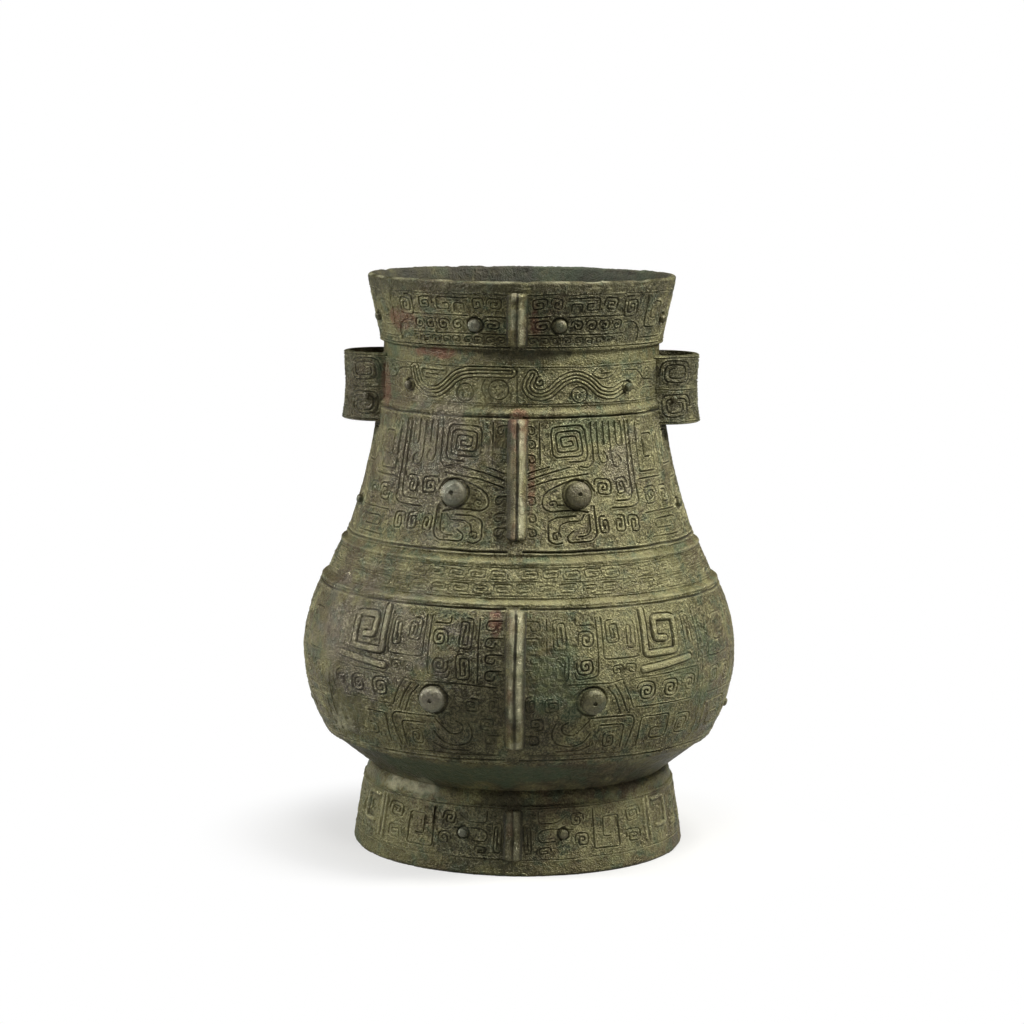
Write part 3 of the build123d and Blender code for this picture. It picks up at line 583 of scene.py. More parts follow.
def blob(points, ragged, centre, size):
    """Ragged patch round a centre, from 0 to 1, in millimetres."""
    apart = np.linalg.norm((points - np.array(centre)) / np.array(size), axis=-1)
    return smooth(0.25, -0.25, apart - 1 + ragged)


TINT_KINDS = ("dark", "ochre", "red", "green", "grey", "pale")
# Places of stains, of painted shade and of painted sheen: kind, centre and half-sizes in millimetres. Some
# dark places only make the surface darker there.
STAINS_SHADE_AND_SHEEN = (
    ("dark", (-20, -96, 102), (24, 34, 40)),
    ("dark", (12, -96, 100), (20, 30, 36)),
    ("dark", (-88, -50, 92), (18, 26, 16)),
    # painted shadow of the neck and belly flanges: narrow dark strips on the wall to their left
    ("dark", (-7, -76, 212), (4, 16, 40)),
    ("dark", (-7, -96, 118), (4, 16, 40)),
    ("dark", (0, 0, 56), (150, 130, 11)),
    ("dark", (-14, -75, 22), (34, 22, 22)),
    ("dark", (48, -50, 304), (40, 36, 20)),
    ("dark", (92, 0, 258), (26, 30, 26)),
    ("dark", (-92, 0, 258), (26, 30, 26)),
    ("dark", (0, 0, 318), (140, 120, 9)),
    ("dark", (4, -62, 281), (26, 20, 5)),
    ("ochre", (0, -60, 265), (76, 30, 12)),
    ("ochre", (52, -46, 281), (14, 20, 5)),
    ("ochre", (44, -56, 214), (38, 34, 36)),
    ("ochre", (30, -80, 163), (90, 44, 10)),
    ("ochre", (62, -70, 132), (34, 38, 28)),
    ("ochre", (64, -50, 22), (34, 30, 18)),
    ("ochre", (-66, -46, 20), (20, 26, 14)),
    ("red", (-44, -50, 281), (18, 14, 3)),
    ("red", (1, -66, 243), (5, 14, 10)),
    ("red", (9, -68, 300), (3, 12, 9)),
    ("red", (-9, -92, 144), (3.5, 12, 6)),
    ("red", (8, -72, 214), (2, 12, 12)),
    ("red", (-73, -30, 262), (3, 20, 14)),
    ("red", (-64, -40, 297), (8, 20, 6)),
    ("green", (-40, -72, 56), (44, 26, 8)),
    ("green", (10, -80, 58), (30, 22, 6)),
    ("green", (-72, -30, 270), (8, 24, 12)),
    ("green", (40, 50, 312), (50, 40, 14)),
    ("green", (40, -60, 240), (18, 20, 8)),
    ("green", (26, -92, 112), (14, 20, 20)),
    ("green", (92, -40, 116), (18, 26, 22)),
    ("green", (10, 78, 120), (50, 26, 24)),
    # grey: painted sheen, a painted reflection on the neck and belly, mostly on their left
    ("grey", (-50, -58, 220), (28, 30, 34)),
    ("grey", (-74, -62, 130), (40, 40, 28)),
    ("grey", (58, -56, 222), (12, 22, 16)),
    ("pale", (-58, -52, 43), (14, 16, 5)),
    ("pale", (-92, -42, 84), (8, 14, 9)),
)

# Corroded places, where the ornament is eaten away: centre and half-sizes
DECAY = (
    ((17, -92, 118), (15, 16, 24)),
    ((-86, -50, 86), (12, 16, 16)),
    ((-12, -70, 230), (10, 14, 10)),
    ((30, 84, 140), (30, 20, 20)),
)


def piece(name, verts, faces, tints):
    """A closed mesh object that rides with the vessel, from points in millimetres."""
    mesh = bpy.data.meshes.new(name)
    mesh.from_pydata(verts * MM, [], faces)
    mesh.validate()
    mesh.shade_smooth()
    mesh.set_sharp_from_angle(angle=math.radians(72))
    for key, values in tints.items():
        layer = mesh.attributes.new(key, "FLOAT", "POINT")
        layer.data.foreach_set("value", np.asarray(values, np.float32))
    made = bpy.data.objects.new(name, mesh)
    bpy.context.scene.collection.objects.link(made)
    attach(made, "root")
    return made


def shell(name, outer, inner, ring, tints):
    """Closed wall section between an outer and an inner grid of points with the same columns."""
    rows, cols = outer.shape[:2]
    deep = inner.shape[0]
    verts = np.concatenate([outer.reshape(-1, 3), inner.reshape(-1, 3)])
    base = rows * cols
    span = cols if ring else cols - 1

    def strip(a, b):
        n = np.arange(span)
        m = (n + 1) % cols
        return np.stack([a + n, a + m, b + m, b + n], 1)

    faces = [strip(r * cols, (r + 1) * cols) for r in range(rows - 1)]
    faces += [strip(base + r * cols, base + (r + 1) * cols) for r in range(deep - 1)]
    faces.append(strip((rows - 1) * cols, base))
    faces.append(strip(base + (deep - 1) * cols, 0))
    faces = np.concatenate(faces).tolist()
    if not ring:
        for c, flip in ((0, False), (cols - 1, True)):
            edge = [r * cols + c for r in range(rows)] + [base + r * cols + c for r in range(deep)]
            faces.append(edge[::-1] if flip else edge)
    full = {}
    for key, values in tints.items():
        # the inner faces, inside the vessel and the lugs, get painted shade
        plain = np.full(len(verts) - base, 0.9 if key == "dark" else 0.0)
        full[key] = np.concatenate([values.reshape(-1), plain])
    return piece(name, verts, faces, full)


def decayed(points):
    """How far the surface is eaten away, from 0 to 1."""
    ragged = 0.55 * layered(points, 9, Seed.decay)
    return np.max([blob(points, ragged, *place) for place in DECAY], axis=0)


def stain_shade_and_sheen_masks(points):
    """Masks of the stains, painted shade and painted sheen by kind."""
    ragged = 0.55 * layered(points, 9, Seed.stains)
    masks = {kind: np.zeros(points.shape[:-1]) for kind in TINT_KINDS}
    for kind, centre, size in STAINS_SHADE_AND_SHEEN:
        masks[kind] = np.maximum(masks[kind], blob(points, ragged, centre, size))
    return masks


def local_mean(grid, reach, ring):
    """Mean of a grid over a square about each point."""
    for axis, edge in ((0, "edge"), (1, "wrap" if ring else "edge")):
        pad = [(0, 0), (0, 0)]
        pad[axis] = (reach + 1, reach)
        total = np.cumsum(np.pad(grid, pad, mode=edge), axis=axis)
        count = grid.shape[axis]
        span = 2 * reach + 1
        grid = (np.take(total, range(span, span + count), axis) - np.take(total, range(count), axis)) / span
    return grid


def carved(points, across, right, relief, base, outside):
    """Height of the ornament over the wall, and where its ground is plain, from both carvings."""
    s = across[None, :] + 0.35 * noise(points, 11, Seed.sway_across)
    t = points[..., 2] - base + 0.3 * noise(points, 10, Seed.sway_up)
    inside = (t > 0) & (t < relief[0].size[1])
    if outside:
        inside[outside:] = False
    height, plain = np.zeros(inside.shape), np.zeros(inside.shape)
    for side, carving in zip((True, False), relief):
        hand = (right == side)[None, :]
        height = np.where(hand, sampled(carving.map, s, t, carving.step) * inside, height)
        plain = np.where(hand, sampled(carving.free.astype(float), s, t, carving.step) * inside, plain)
    return height, plain


def shade_inside(tints, points, outside):
    """Painted highlight along the lip, and painted shade on the rows that lie within the mouth."""
    lip = slice(outside + 1, outside + 5)
    ragged = noise(points[outside:], 9, Seed.inside)
    tints["dark"][outside:] = np.clip(0.95 + 0.4 * ragged, 0.4, 1)
    tints["pale"][lip] = 0.7 * smooth(-0.3, 0.5, noise(points[lip], 7, Seed.lip))
    tints["earth_and_shade"][outside + 6 :] = np.clip(1.0 + 0.4 * ragged[6:], 0.6, 1)


# How deep the drawn ornament is cast, and how much thunder thread shows on a wall without ornament
CAST_DEPTH = 1.3
BARE_THREAD = 0.15


def wall_piece(
    name,
    quarters,
    profile,
    inner,
    relief=None,
    base=0.0,
    depth=1.0,
    spacing=SPACING,
    crests=(),
    outside=None,
):
    """One stretch of the vessel's wall with its cast ornament, wear, stains and painted light and shade.

    relief holds the right and the left carving, which start at the height base. crests are the heights of
    ledges that get a painted highlight, and outside counts the profile's points before the lip, where it
    turns inwards.
    """
    half_mid = float(np.mean(profile[:, 0]))
    ring = quarters == ROUND
    turn = columns(*quarters, half_mid, spacing)
    if ring:
        turn = turn[:-1]
    points, out = lifted(profile, turn)
    eaten = decayed(points)
    wear = np.clip(0.9 + 0.4 * layered(points, 26, Seed.wear), 0.35, 1.15) * (1 - 0.75 * eaten)
    height, thread = np.zeros(points.shape[:2]), np.full(points.shape[:2], BARE_THREAD)
    if relief is not None:
        fold, right = folded(turn)
        across = np.interp(fold, TURN, ARC) * half_mid
        height, thread = carved(points, across, right, relief, base, outside)
        height = CAST_DEPTH * height * wear * depth
        thread *= smooth(0.45, 0.9, wear)
    gritty = 0.6 + 0.8 * smooth(-0.4, 0.5, noise(points, 15, Seed.gritty_places))
    grit = 0.15 * layered(points, 1.5, Seed.grit, 2) * gritty
    pitted = smooth(0.1, 0.5, noise(points, 18, Seed.pitted_places))
    pits = smooth(0.62, 0.8, noise(points, 2.4, Seed.pits)) * pitted
    loss = eaten * (0.35 + 0.45 * np.abs(layered(points, 3.2, Seed.corrosion, 2)))
    height += 0.3 * grit - 0.35 * pits - loss
    if outside:
        edge = slice(outside - 5, outside + 14)
        chips = 0.45 * smooth(0.2, 0.6, noise(points[edge], 9, Seed.chips))
        height[edge] -= chips + 0.12 * np.abs(noise(points[edge], 2.5, Seed.nicks))
    # the tints follow what stands out of its surroundings, before the broad unevenness is added
    apart = height - local_mean(height, 4, ring)
    height += 0.7 * grit + 0.16 * layered(points, 7, Seed.dents) + 0.3 * noise(points, 34, Seed.swell)
    tints = stain_shade_and_sheen_masks(points)
    # earth and painted shade where the surface lies below its surroundings, wear and painted highlight
    # where it stands above them
    tints["earth_and_shade"] = np.clip((-apart - 0.14) / 0.5, 0, 1)
    tints["wear_and_highlight"] = 0.9 * np.clip((apart - 0.08) / 0.28, 0, 1)
    # painted highlight along the crests of the ledges
    for z in crests:
        ledge_highlight = 0.55 * np.exp(-(((points[..., 2] - z) / 0.65) ** 2)) * wear
        tints["wear_and_highlight"] = np.maximum(tints["wear_and_highlight"], ledge_highlight)
    tints["eaten"] = eaten
    tints["thread"] = thread
    if outside:
        shade_inside(tints, points, outside)
    within, _ = lifted(inner, turn)
    return shell(name, points + out * height[..., None], within, ring, tints)


def stretch(profile, low, high, spacing=SPACING, column=OUTER):
    """Points of a felt profile between two heights, at the given spacing."""
    z = np.linspace(low, high, max(int((high - low) / spacing), 2) + 1)
    held = np.clip(z, low + 0.15, high - 0.15)
    return np.stack([np.interp(held, profile[:, 0], profile[:, column]), z], 1)


def wall_profiles(node, low, high, fine=SPACING, coarse=7):
    """Outer profile of a node's wall going up between two heights, and the inner one going down."""
    felt = read_profile(node)
    return stretch(felt, low, high, fine), stretch(felt, low, high, coarse, INNER)[::-1]


def ledge(profile, low, high, bead=0.18, groove=0.4):
    """Shapes the profile between two heights to a rounded step with a bead below and a groove above."""
    z = profile[:, 1]
    foot, head = (np.interp(v, z, profile[:, 0]) for v in (low, high))
    share = np.clip((z - low) / (high - low), 0, 1)
    step = head + (foot - head) * (1 - smooth(0.3, 0.8, share))
    step += bead * np.exp(-(((share - 0.28) / 0.18) ** 2))
    step -= groove * np.exp(-(((share - 0.92) / 0.1) ** 2))
    made = profile.copy()
    made[:, 0] = np.where((z > low) & (z < high), step, profile[:, 0])
    return made


def bosses_on(prefix, low, half_mid):
    """Places of a tier's bosses in one quarter: distance from the flange, height and radius."""
    places = []
    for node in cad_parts:
        if node.startswith(prefix) and "_left" not in node and "_back" not in node:
            a, b = (np.array(v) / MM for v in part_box(node))
            middle = (a + b) / 2
            turn = math.atan2(middle[0], -middle[1] / OVAL)
            along = float(np.interp(turn, TURN, ARC)) * half_mid
            places.append((along, middle[2] - low, (b[2] - a[2]) / 2))
    return places


class Level:
    """Heights of the tiers' edges, in millimetres, taken from the frame and the settings."""

    def __init__(self, sizes):
        def edge(node, end):
            return round(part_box(node)[end].z / MM, 1)

        self.belly = edge("belly_wall", 0)
        self.belly_top = edge("belly_wall", 1)
        self.shoulder = self.belly_top + sizes.belly_ledge / MM
        self.neck_foot = edge("neck_wall", 0)
        self.neck = self.neck_foot + sizes.shoulder_ledge / MM
        self.neck_top = edge("neck_wall", 1)
        self.dragon = self.neck_top + sizes.neck_ledge / MM
        self.dragon_top = self.dragon + sizes.dragon_band / MM
        self.mouth = edge("mouth_wall", 0)
        self.top = edge("mouth_wall", 1)
        self.lip = self.top - sizes.lip / MM
        self.foot_top = edge("foot_ring", 1)
        self.foot_band = sizes.foot_edge / MM
        self.collar = self.foot_band + sizes.foot_band / MM


# Stretches of the wall in quarters of a turn from the front: whole, in four and in two
ROUND = (0, 4)
QUARTERS = {"front_right": (0, 1), "back_right": (1, 2), "back_left": (2, 3), "front_left": (3, 4)}
HALVES = {"front": (-1, 1), "back": (1, 3)}


def dress(made, slot, *nodes):
    """Gives a piece its bronze and hides the nodes that it stands for."""
    made.data.materials.append(bronze(slot))
    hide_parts(*nodes)


class HU_OT_belly(bpy.types.Operator):
    """Casts the belly in four quarters with its mask and flanking dragons"""

    bl_idname = "hu.belly"
    bl_label = "Belly"

    def execute(self, context):
        level = Level(context.scene.hu_sizes)
        outer, inner = wall_profiles("belly_wall", level.belly, level.belly_top)
        half = float(np.mean(outer[:, 0]))
        eyes = bosses_on("belly_eye", level.belly, half)
        carving = belly_carving(ARC[-1] * half, level.belly_top - level.belly, eyes)
        for place, quarters in QUARTERS.items():
            name, pair = "belly_" + place, (carving, carving)
            made = wall_piece(name, quarters, outer, inner, pair, level.belly, depth=0.8)
            dress(made, "wall_bronze", "belly_wall")
        return {"FINISHED"}


class HU_OT_underside(bpy.types.Operator):
    """Casts the plain underside between foot and belly"""

    bl_idname = "hu.underside"
    bl_label = "Underside"

    def execute(self, context):
        felt = read_profile("underside_wall")
        low, high = felt[0, 0], felt[-1, 0]
        outer, inner = stretch(felt, low, high, 0.6), stretch(felt, low, high, 5, INNER)[::-1]
        made = wall_piece("underside_ring", ROUND, outer, inner, spacing=0.7)
        dress(made, "wall_bronze", "underside_wall")
        return {"FINISHED"}


class HU_OT_shoulder(bpy.types.Operator):
    """Casts the shoulder ring with its rows of thunder pattern"""

    bl_idname = "hu.shoulder"
    bl_label = "Shoulder"

    def execute(self, context):
        level = Level(context.scene.hu_sizes)
        outer, inner = wall_profiles("shoulder_wall", level.belly_top, level.neck_foot, 0.42)
        outer = ledge(outer, level.belly_top, level.shoulder)
        width = ARC[-1] * float(np.mean(outer[:, 0]))
        carving = shoulder_carving(width, level.neck_foot - level.shoulder)
        pair = (carving, carving)
        finish = {"depth": 0.8, "spacing": 0.5, "crests": (level.belly_top + 1.3,)}
        made = wall_piece("shoulder_ring", ROUND, outer, inner, pair, level.shoulder, **finish)
        dress(made, "wall_bronze", "shoulder_wall")
        return {"FINISHED"}


class HU_OT_neck(bpy.types.Operator):
    """Casts the neck in four quarters with its horned mask"""

    bl_idname = "hu.neck"
    bl_label = "Neck"

    def execute(self, context):
        level = Level(context.scene.hu_sizes)
        outer, inner = wall_profiles("neck_wall", level.neck_foot, level.neck_top)
        outer = ledge(outer, level.neck_foot, level.neck)
        half = float(np.mean(outer[:, 0]))
        places = bosses_on("neck_eye", level.neck, half) + bosses_on("neck_side_boss", level.neck, half)
        carving = neck_carving(ARC[-1] * half, level.neck_top - level.neck, places)
        crests = (level.neck_foot + 1.8,)
        for place, quarters in QUARTERS.items():
            name, pair = "neck_" + place, (carving, carving)
            made = wall_piece(name, quarters, outer, inner, pair, level.neck, crests=crests)
            dress(made, "wall_bronze", "neck_wall")
        return {"FINISHED"}


class HU_OT_collar(bpy.types.Operator):
    """Casts the dragon band and the plain band above it"""

    bl_idname = "hu.collar"
    bl_label = "Dragon band"

    def execute(self, context):
        level = Level(context.scene.hu_sizes)
        outer, inner = wall_profiles("collar_wall", level.neck_top, level.dragon_top, 0.42)
        outer = ledge(outer, level.neck_top, level.dragon)
        half = float(np.mean(outer[:, 0]))
        width, height = ARC[-1] * half, level.dragon_top - level.dragon
        places = bosses_on("dragon_eye", level.dragon, half)
        pair = [dragon_carving(width, height, right, places) for right in (True, False)]
        finish = {"spacing": 0.46, "crests": (level.neck_top + 1.6,)}
        made = wall_piece("dragon_band", ROUND, outer, inner, pair, level.dragon, **finish)
        dress(made, "wall_bronze", "collar_wall")
        outer, inner = wall_profiles("collar_wall", level.dragon_top, level.mouth, 0.6, 4)
        made = wall_piece("plain_band", ROUND, outer, inner, spacing=0.6)
        dress(made, "wall_bronze", "collar_wall")
        return {"FINISHED"}


class HU_OT_mouth(bpy.types.Operator):
    """Casts the flaring mouth in two halves, round over the lip and down inside"""

    bl_idname = "hu.mouth"
    bl_label = "Mouth"

    def execute(self, context):
        level = Level(context.scene.hu_sizes)
        felt = read_profile("mouth_wall")
        outside = stretch(felt, level.mouth, level.top - 1.8)
        inside = stretch(felt, level.mouth, level.top - 1.2, 0.9, INNER)[::-1]
        reach, depth = outside[-1, 0], inside[0, 0]
        middle = (reach + depth) / 2
        bend = np.linspace(0, math.pi, 13)[1:-1]
        over = np.stack([middle + (reach - middle) * np.cos(bend), level.top - 1.6 + 1.5 * np.sin(bend)], 1)
        # the inside's upper half belongs to the worked surface, and its lower half keeps every fourth row
        fine = len(inside) // 2
        outer = np.concatenate([outside, over, inside[:fine]])
        inner = inside[fine:][::4] if len(inside[fine:]) > 8 else inside[fine:]
        inner = np.concatenate([inner[:-1], inside[-1:]])
        half = float(np.mean(outside[:, 0]))
        places = bosses_on("mouth_eye", level.mouth, half) + bosses_on("mouth_side_boss", level.mouth, half)
        carving = mouth_carving(ARC[-1] * half, level.lip - level.mouth, places)
        for place, quarters in HALVES.items():
            name, pair = "mouth_" + place, (carving, carving)
            made = wall_piece(name, quarters, outer, inner, pair, level.mouth, outside=len(outside))
            dress(made, "wall_bronze", "mouth_wall")
        return {"FINISHED"}


class HU_OT_foot(bpy.types.Operator):
    """Casts the flared foot ring in two halves with its low band of ornament"""

    bl_idname = "hu.foot"
    bl_label = "Foot"

    def execute(self, context):
        level = Level(context.scene.hu_sizes)
        felt = read_profile("foot_ring")
        outer = stretch(felt, 0.0, level.foot_top - 0.2, 0.46)
        inner = stretch(felt, 0.0, level.foot_top - 8, 5, INNER)[::-1]
        half = float(np.mean(outer[:, 0]))
        places = bosses_on("foot_eye", level.foot_band, half)
        carving = foot_carving(ARC[-1] * half, level.collar - level.foot_band, places)
        # the top edge tucks in under the underside, so that no slit shows
        tuck = [[outer[-1, 0] - inwards, level.foot_top + 0.9] for inwards in (1.2, 5.0)]
        tucked = np.concatenate([outer, tuck])
        for place, quarters in HALVES.items():
            name, pair = "foot_" + place, (carving, carving)
            made = wall_piece(name, quarters, tucked, inner, pair, level.foot_band)
            # the resting edge is flat
            for v in made.data.vertices:
                if v.co.z < 0.4 * MM:
                    v.co.z = 0
            dress(made, "wall_bronze", "foot_ring")
        return {"FINISHED"}


# How far a lug's tube turns to each side of its outermost line, and the length round it
LUG_TURN = math.radians(98)
LUG_ROUND = 62.0


def tube(centre, half_x, half_y, turn, z):
    """Points of an upright oval tube, a row for each height."""
    half_x, half_y, z = (values[:, None] for values in (half_x, half_y, z))
    return np.stack(np.broadcast_arrays(centre + half_x * np.cos(turn), half_y * np.sin(turn), z), -1)


class HU_OT_lugs(bpy.types.Operator):
    """Casts the two waisted tubular lugs with their rows of spirals"""

    bl_idname = "hu.lugs"
    bl_label = "Lugs"

    def execute(self, context):
        sizes = context.scene.hu_sizes
        low, high = (np.array(v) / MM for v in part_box("lug_right"))
        centre, bore, reach, deep = sizes.lug_centre / MM, sizes.lug_wall / MM, high[0], high[1]
        height = high[2] - low[2]
        rows, cols = int(height / 0.42), 150
        turn = np.linspace(-LUG_TURN, LUG_TURN, cols)
        up, few = np.linspace(0, 1, rows), np.linspace(1, 0, 7)
        flare = sizes.lug_flare / MM * (np.abs(2 * up - 1) ** 2) * np.where(up < 0.5, 1.0, 0.4)
        half_x = reach - centre - flare.max() + flare
        half_y = deep - flare.max() + flare
        flat = tube(centre, half_x, half_y, turn, low[2] + up * height)
        way = np.cos(turn) / half_x[:, None], np.sin(turn) / half_y[:, None], np.zeros((rows, 1))
        way = np.stack(np.broadcast_arrays(*way), -1)
        way /= np.linalg.norm(way, axis=-1, keepdims=True)
        spread = np.interp(few, up, flare) - flare.max()
        within = reach - centre - bore + spread, deep - bore + spread
        inner = tube(centre, *within, turn, low[2] + few * height)
        carving = lug_carving(LUG_ROUND, height)
        s = ((turn / LUG_TURN + 1) * LUG_ROUND / 2)[None, :] + 0.3 * noise(flat, 9, Seed.lug_across)
        t = (up * height)[:, None] + 0.3 * noise(flat, 9, Seed.lug_up)
        cut = sampled(carving.map, s, t, carving.step)
        edge = np.minimum(up, 1 - up) * height
        round_off = 0.9 * (1 - np.sqrt(1 - np.clip(1 - edge / 1.0, 0, 1) ** 2))
        for name, side in (("lug_right", 1), ("lug_left", -1)):
            mirror = np.array([side, 1, 1])
            wear = np.clip(0.8 + 0.4 * layered(flat * mirror, 16, Seed.lug_wear), 0.3, 1.05)
            dents = 0.2 * layered(flat * mirror, 6, Seed.lug_dents)
            lift = CAST_DEPTH * cut * wear - round_off[:, None] + dents
            outer = (flat + way * lift[..., None]) * mirror
            tints = stain_shade_and_sheen_masks(outer)
            # earth and painted shade in the cut lines, wear and painted highlight on what stands out
            tints["earth_and_shade"] = np.clip((-cut - 0.1) / 0.6, 0, 1)
            tints["wear_and_highlight"] = np.clip((cut - 0.02) / 0.2, 0, 1) * wear
            tints["thread"] = np.full(cut.shape, 0.6)
            tints["eaten"] = decayed(outer)
            made = shell(name + "_tube", outer, inner * mirror, False, tints)
            if side < 0:
                made.data.flip_normals()
            dress(made, "wall_bronze", name)
        return {"FINISHED"}


# How far the flanges stand out of the wall, in millimetres
STAND_OUT = {"mouth": 2.6, "neck": 4.6, "belly": 4.0, "foot": 2.2}
# How far the front flanges sit to the right of the middle, in millimetres
LEAN = {"neck_flange": 0.8, "belly_flange": 1.4}
# Half of a flange's section, from its root to the groove along the middle: places across, as shares of
# its half-width, and drop below the crest, as shares of how far it stands out
ACROSS = np.array([-1.46, -1.42, -1.36, -1.22, -1.06, -0.9, -0.74, -0.58, -0.42, -0.3, -0.21, -0.12, -0.05])
DROP = np.array([1.0, 1.0, 1.0, 0.82, 0.6, 0.38, 0.2, 0.08, 0.01, 0.0, 0.07, 0.2, 0.24])
# How far the roots are sunk in the wall, and the deepest that the groove may be, in millimetres
ROOTS = np.array([1.6, 0.5, 0.0])
GROOVE = np.array([0.3, 0.7, 0.8])


def flange_section(stand_out):
    """Places across a flange and their drop below its crest."""
    drop = DROP * stand_out
    drop[:3] += ROOTS
    drop[-3:] = np.minimum(drop[-3:], GROOVE)
    return np.concatenate([ACROSS, -ACROSS[::-1]]), np.concatenate([drop, drop[::-1]])


def flange_crest(node, half, face, z):
    """Distance of a flange's crest from the lugs' plane at the given heights."""
    tree = tree_of(node)
    crest = []
    for level in z:
        start = Vector((half * 0.4 * MM, face * 0.3, level * MM))
        hit = tree.ray_cast(start, Vector((0, -face, 0)))[0]
        crest.append(abs(hit.y) / MM if hit else np.nan)
    crest = np.array(crest)
    good = ~np.isnan(crest)
    return np.interp(z, z[good], crest[good])


def flange_tints(node, flat, across, drop, stand_out, face):
    """Tints of a flange: earth and painted shade at the roots and in the groove, a painted highlight on the
    crests, strongest on the right, and on the neck flange painted shade on the left side, with rust on the
    left.
    """
    neck, foot = "neck" in node, "foot" in node
    rise, right, left = 1 - drop / stand_out, across * face < 0, across * face > 0
    # earth and painted shade at the roots and in the groove; on the neck flange also painted shade on the
    # left flank and the left side
    groove = smooth(0.3, 0.7, drop) * (np.abs(across) < 0.4) + (drop > stand_out - 1)
    painted_shade_flank = smooth(0.85, 0.5, rise) * left * (0.9 if neck else 0.0)
    shaded = smooth(-0.2, -0.5, across * face * -1) * (0.9 if neck else 0.0)
    # painted highlight on the crests, strongest on the right-hand one, in patches
    painted_highlight = np.where(right, smooth(0.3, 0.85, rise), smooth(0.6, 0.95, rise) * (0.2 if neck else 0.8))
    patchy = smooth(-0.5, 0.1, noise(flat, 5, Seed.rib_pale)) * (0.35 if foot else 1.0)
    rusty = smooth(0.5, 0.1, drop / stand_out) * left * smooth(0.0, 0.4, noise(flat, 9, Seed.rib_rust))
    tints = stain_shade_and_sheen_masks(flat)
    tints["earth_and_shade"] = np.broadcast_to(np.maximum(groove, painted_shade_flank), flat.shape[:2])
    # wear and painted highlight on the crest's half towards the right-hand lamps
    tints["wear_and_highlight"] = np.broadcast_to(smooth(0.6, 0.0, drop) * (across > 0), flat.shape[:2])
    tints["dark"] = np.maximum(tints["dark"], shaded)
    tints["pale"] = np.maximum(tints["pale"], painted_highlight * patchy)
    tints["red"] = np.maximum(tints["red"], 0.5 * rusty)
    tints["rib"] = np.full(flat.shape[:2], RIB_MARK)
    return {key: values.reshape(-1) for key, values in tints.items()}


def rod_faces(rows, cols):
    """Faces of a closed rod of rings of points."""
    faces = []
    for r in range(rows - 1):
        for c in range(cols):
            d = (c + 1) % cols
            faces.append((r * cols + c, r * cols + d, (r + 1) * cols + d, (r + 1) * cols + c))
    faces.append(tuple(range(cols))[::-1])
    faces.append(tuple(range((rows - 1) * cols, rows * cols)))
    return faces


class HU_OT_flanges(bpy.types.Operator):
    """Casts the upright flanges with their doubled crest"""

    bl_idname = "hu.flanges"
    bl_label = "Flanges"

    def execute(self, context):
        for node in sorted(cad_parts):
            if "flange" not in node:
                continue
            low, high = (np.array(v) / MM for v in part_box(node))
            face = -1 if "_front" in node else 1
            half = (high[0] - low[0]) / 2
            z = np.linspace(low[2] + 0.05, high[2] - 0.05, int((high[2] - low[2]) / 0.5))
            crest = flange_crest(node, half, face, z)
            stand_out = STAND_OUT[node.split("_")[0]]
            across, drop = flange_section(stand_out)
            up = np.minimum(z - z[0], z[-1] - z)
            ends = 1.6 * (1 - np.sqrt(1 - np.clip(1 - up / 1.8, 0, 1) ** 2))
            deep = crest[:, None] - drop - np.outer(ends, np.clip(1 - drop / stand_out, 0, 1))
            flat = np.stack(np.broadcast_arrays(across * half, face * deep, z[:, None]), -1)
            swell = 0.3 * noise(flat * [0.3, 1, 1], 9, Seed.rib_swell)
            bumps = 0.22 * layered(flat, 4, Seed.rib_dents) + swell
            flat[..., 1] += face * bumps * np.where(drop > stand_out - 1, 0, 1.0)
            flat[..., 0] += LEAN.get(node.split("_front")[0], 0.0)
            bend = 0.3 * noise(flat * [0.1, 1, 1], 12, Seed.rib_bend)
            flat[..., 0] += bend + 0.12 * noise(flat, 3, Seed.rib_edge)
            tints = flange_tints(node, flat, across, drop, stand_out, face)
            made = piece(node + "_rib", flat.reshape(-1, 3), rod_faces(*flat.shape[:2]), tints)
            if face > 0:
                made.data.flip_normals()
            dress(made, "relief_bronze", node)
        return {"FINISHED"}


class HU_OT_bosses(bpy.types.Operator):
    """Gives the eyes, bosses and studs and the plain bowl their bronze"""

    bl_idname = "hu.bosses"
    bl_label = "Eyes and bosses"

    def execute(self, context):
        for name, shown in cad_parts.items():
            relief = any(word in name for word in ("eye", "boss", "stud"))
            if relief or name == "bowl_floor":
                shown.data.materials.clear()
                shown.data.materials.append(bronze("relief_bronze" if relief else "wall_bronze"))
        return {"FINISHED"}


def add(tree, kind, inputs=None, **settings):
    """A shader node with its settings and inputs, which are numbers, colours or other nodes' outputs."""
    made = tree.nodes.new("ShaderNode" + kind)
    for key, value in settings.items():
        setattr(made, key, value)
    for key, value in (inputs or {}).items():
        feed(tree, [made.inputs[key]], [value])
    return made


def feed(tree, sockets, values):
    """Gives sockets their values, which are numbers, colours or other nodes' outputs."""
    for socket, value in zip(sockets, values):
        if isinstance(value, bpy.types.NodeSocket):
            tree.links.new(value, socket)
        else:
            socket.default_value = value


def blend(tree, share, first, second):
    """Mix of two colours."""
    mix = add(tree, "Mix", data_type="RGBA")
    feed(tree, [mix.inputs[n] for n in (0, 6, 7)], (share, first, second))
    return mix.outputs[2]


def sums(tree, operation, first, second=0.0):
    """Arithmetic on two values."""
    made = add(tree, "Math", operation=operation)
    feed(tree, made.inputs, (first, second))
    return made.outputs[0]


def times(tree, first, second):
    """Product of two values."""
    return sums(tree, "MULTIPLY", first, second)


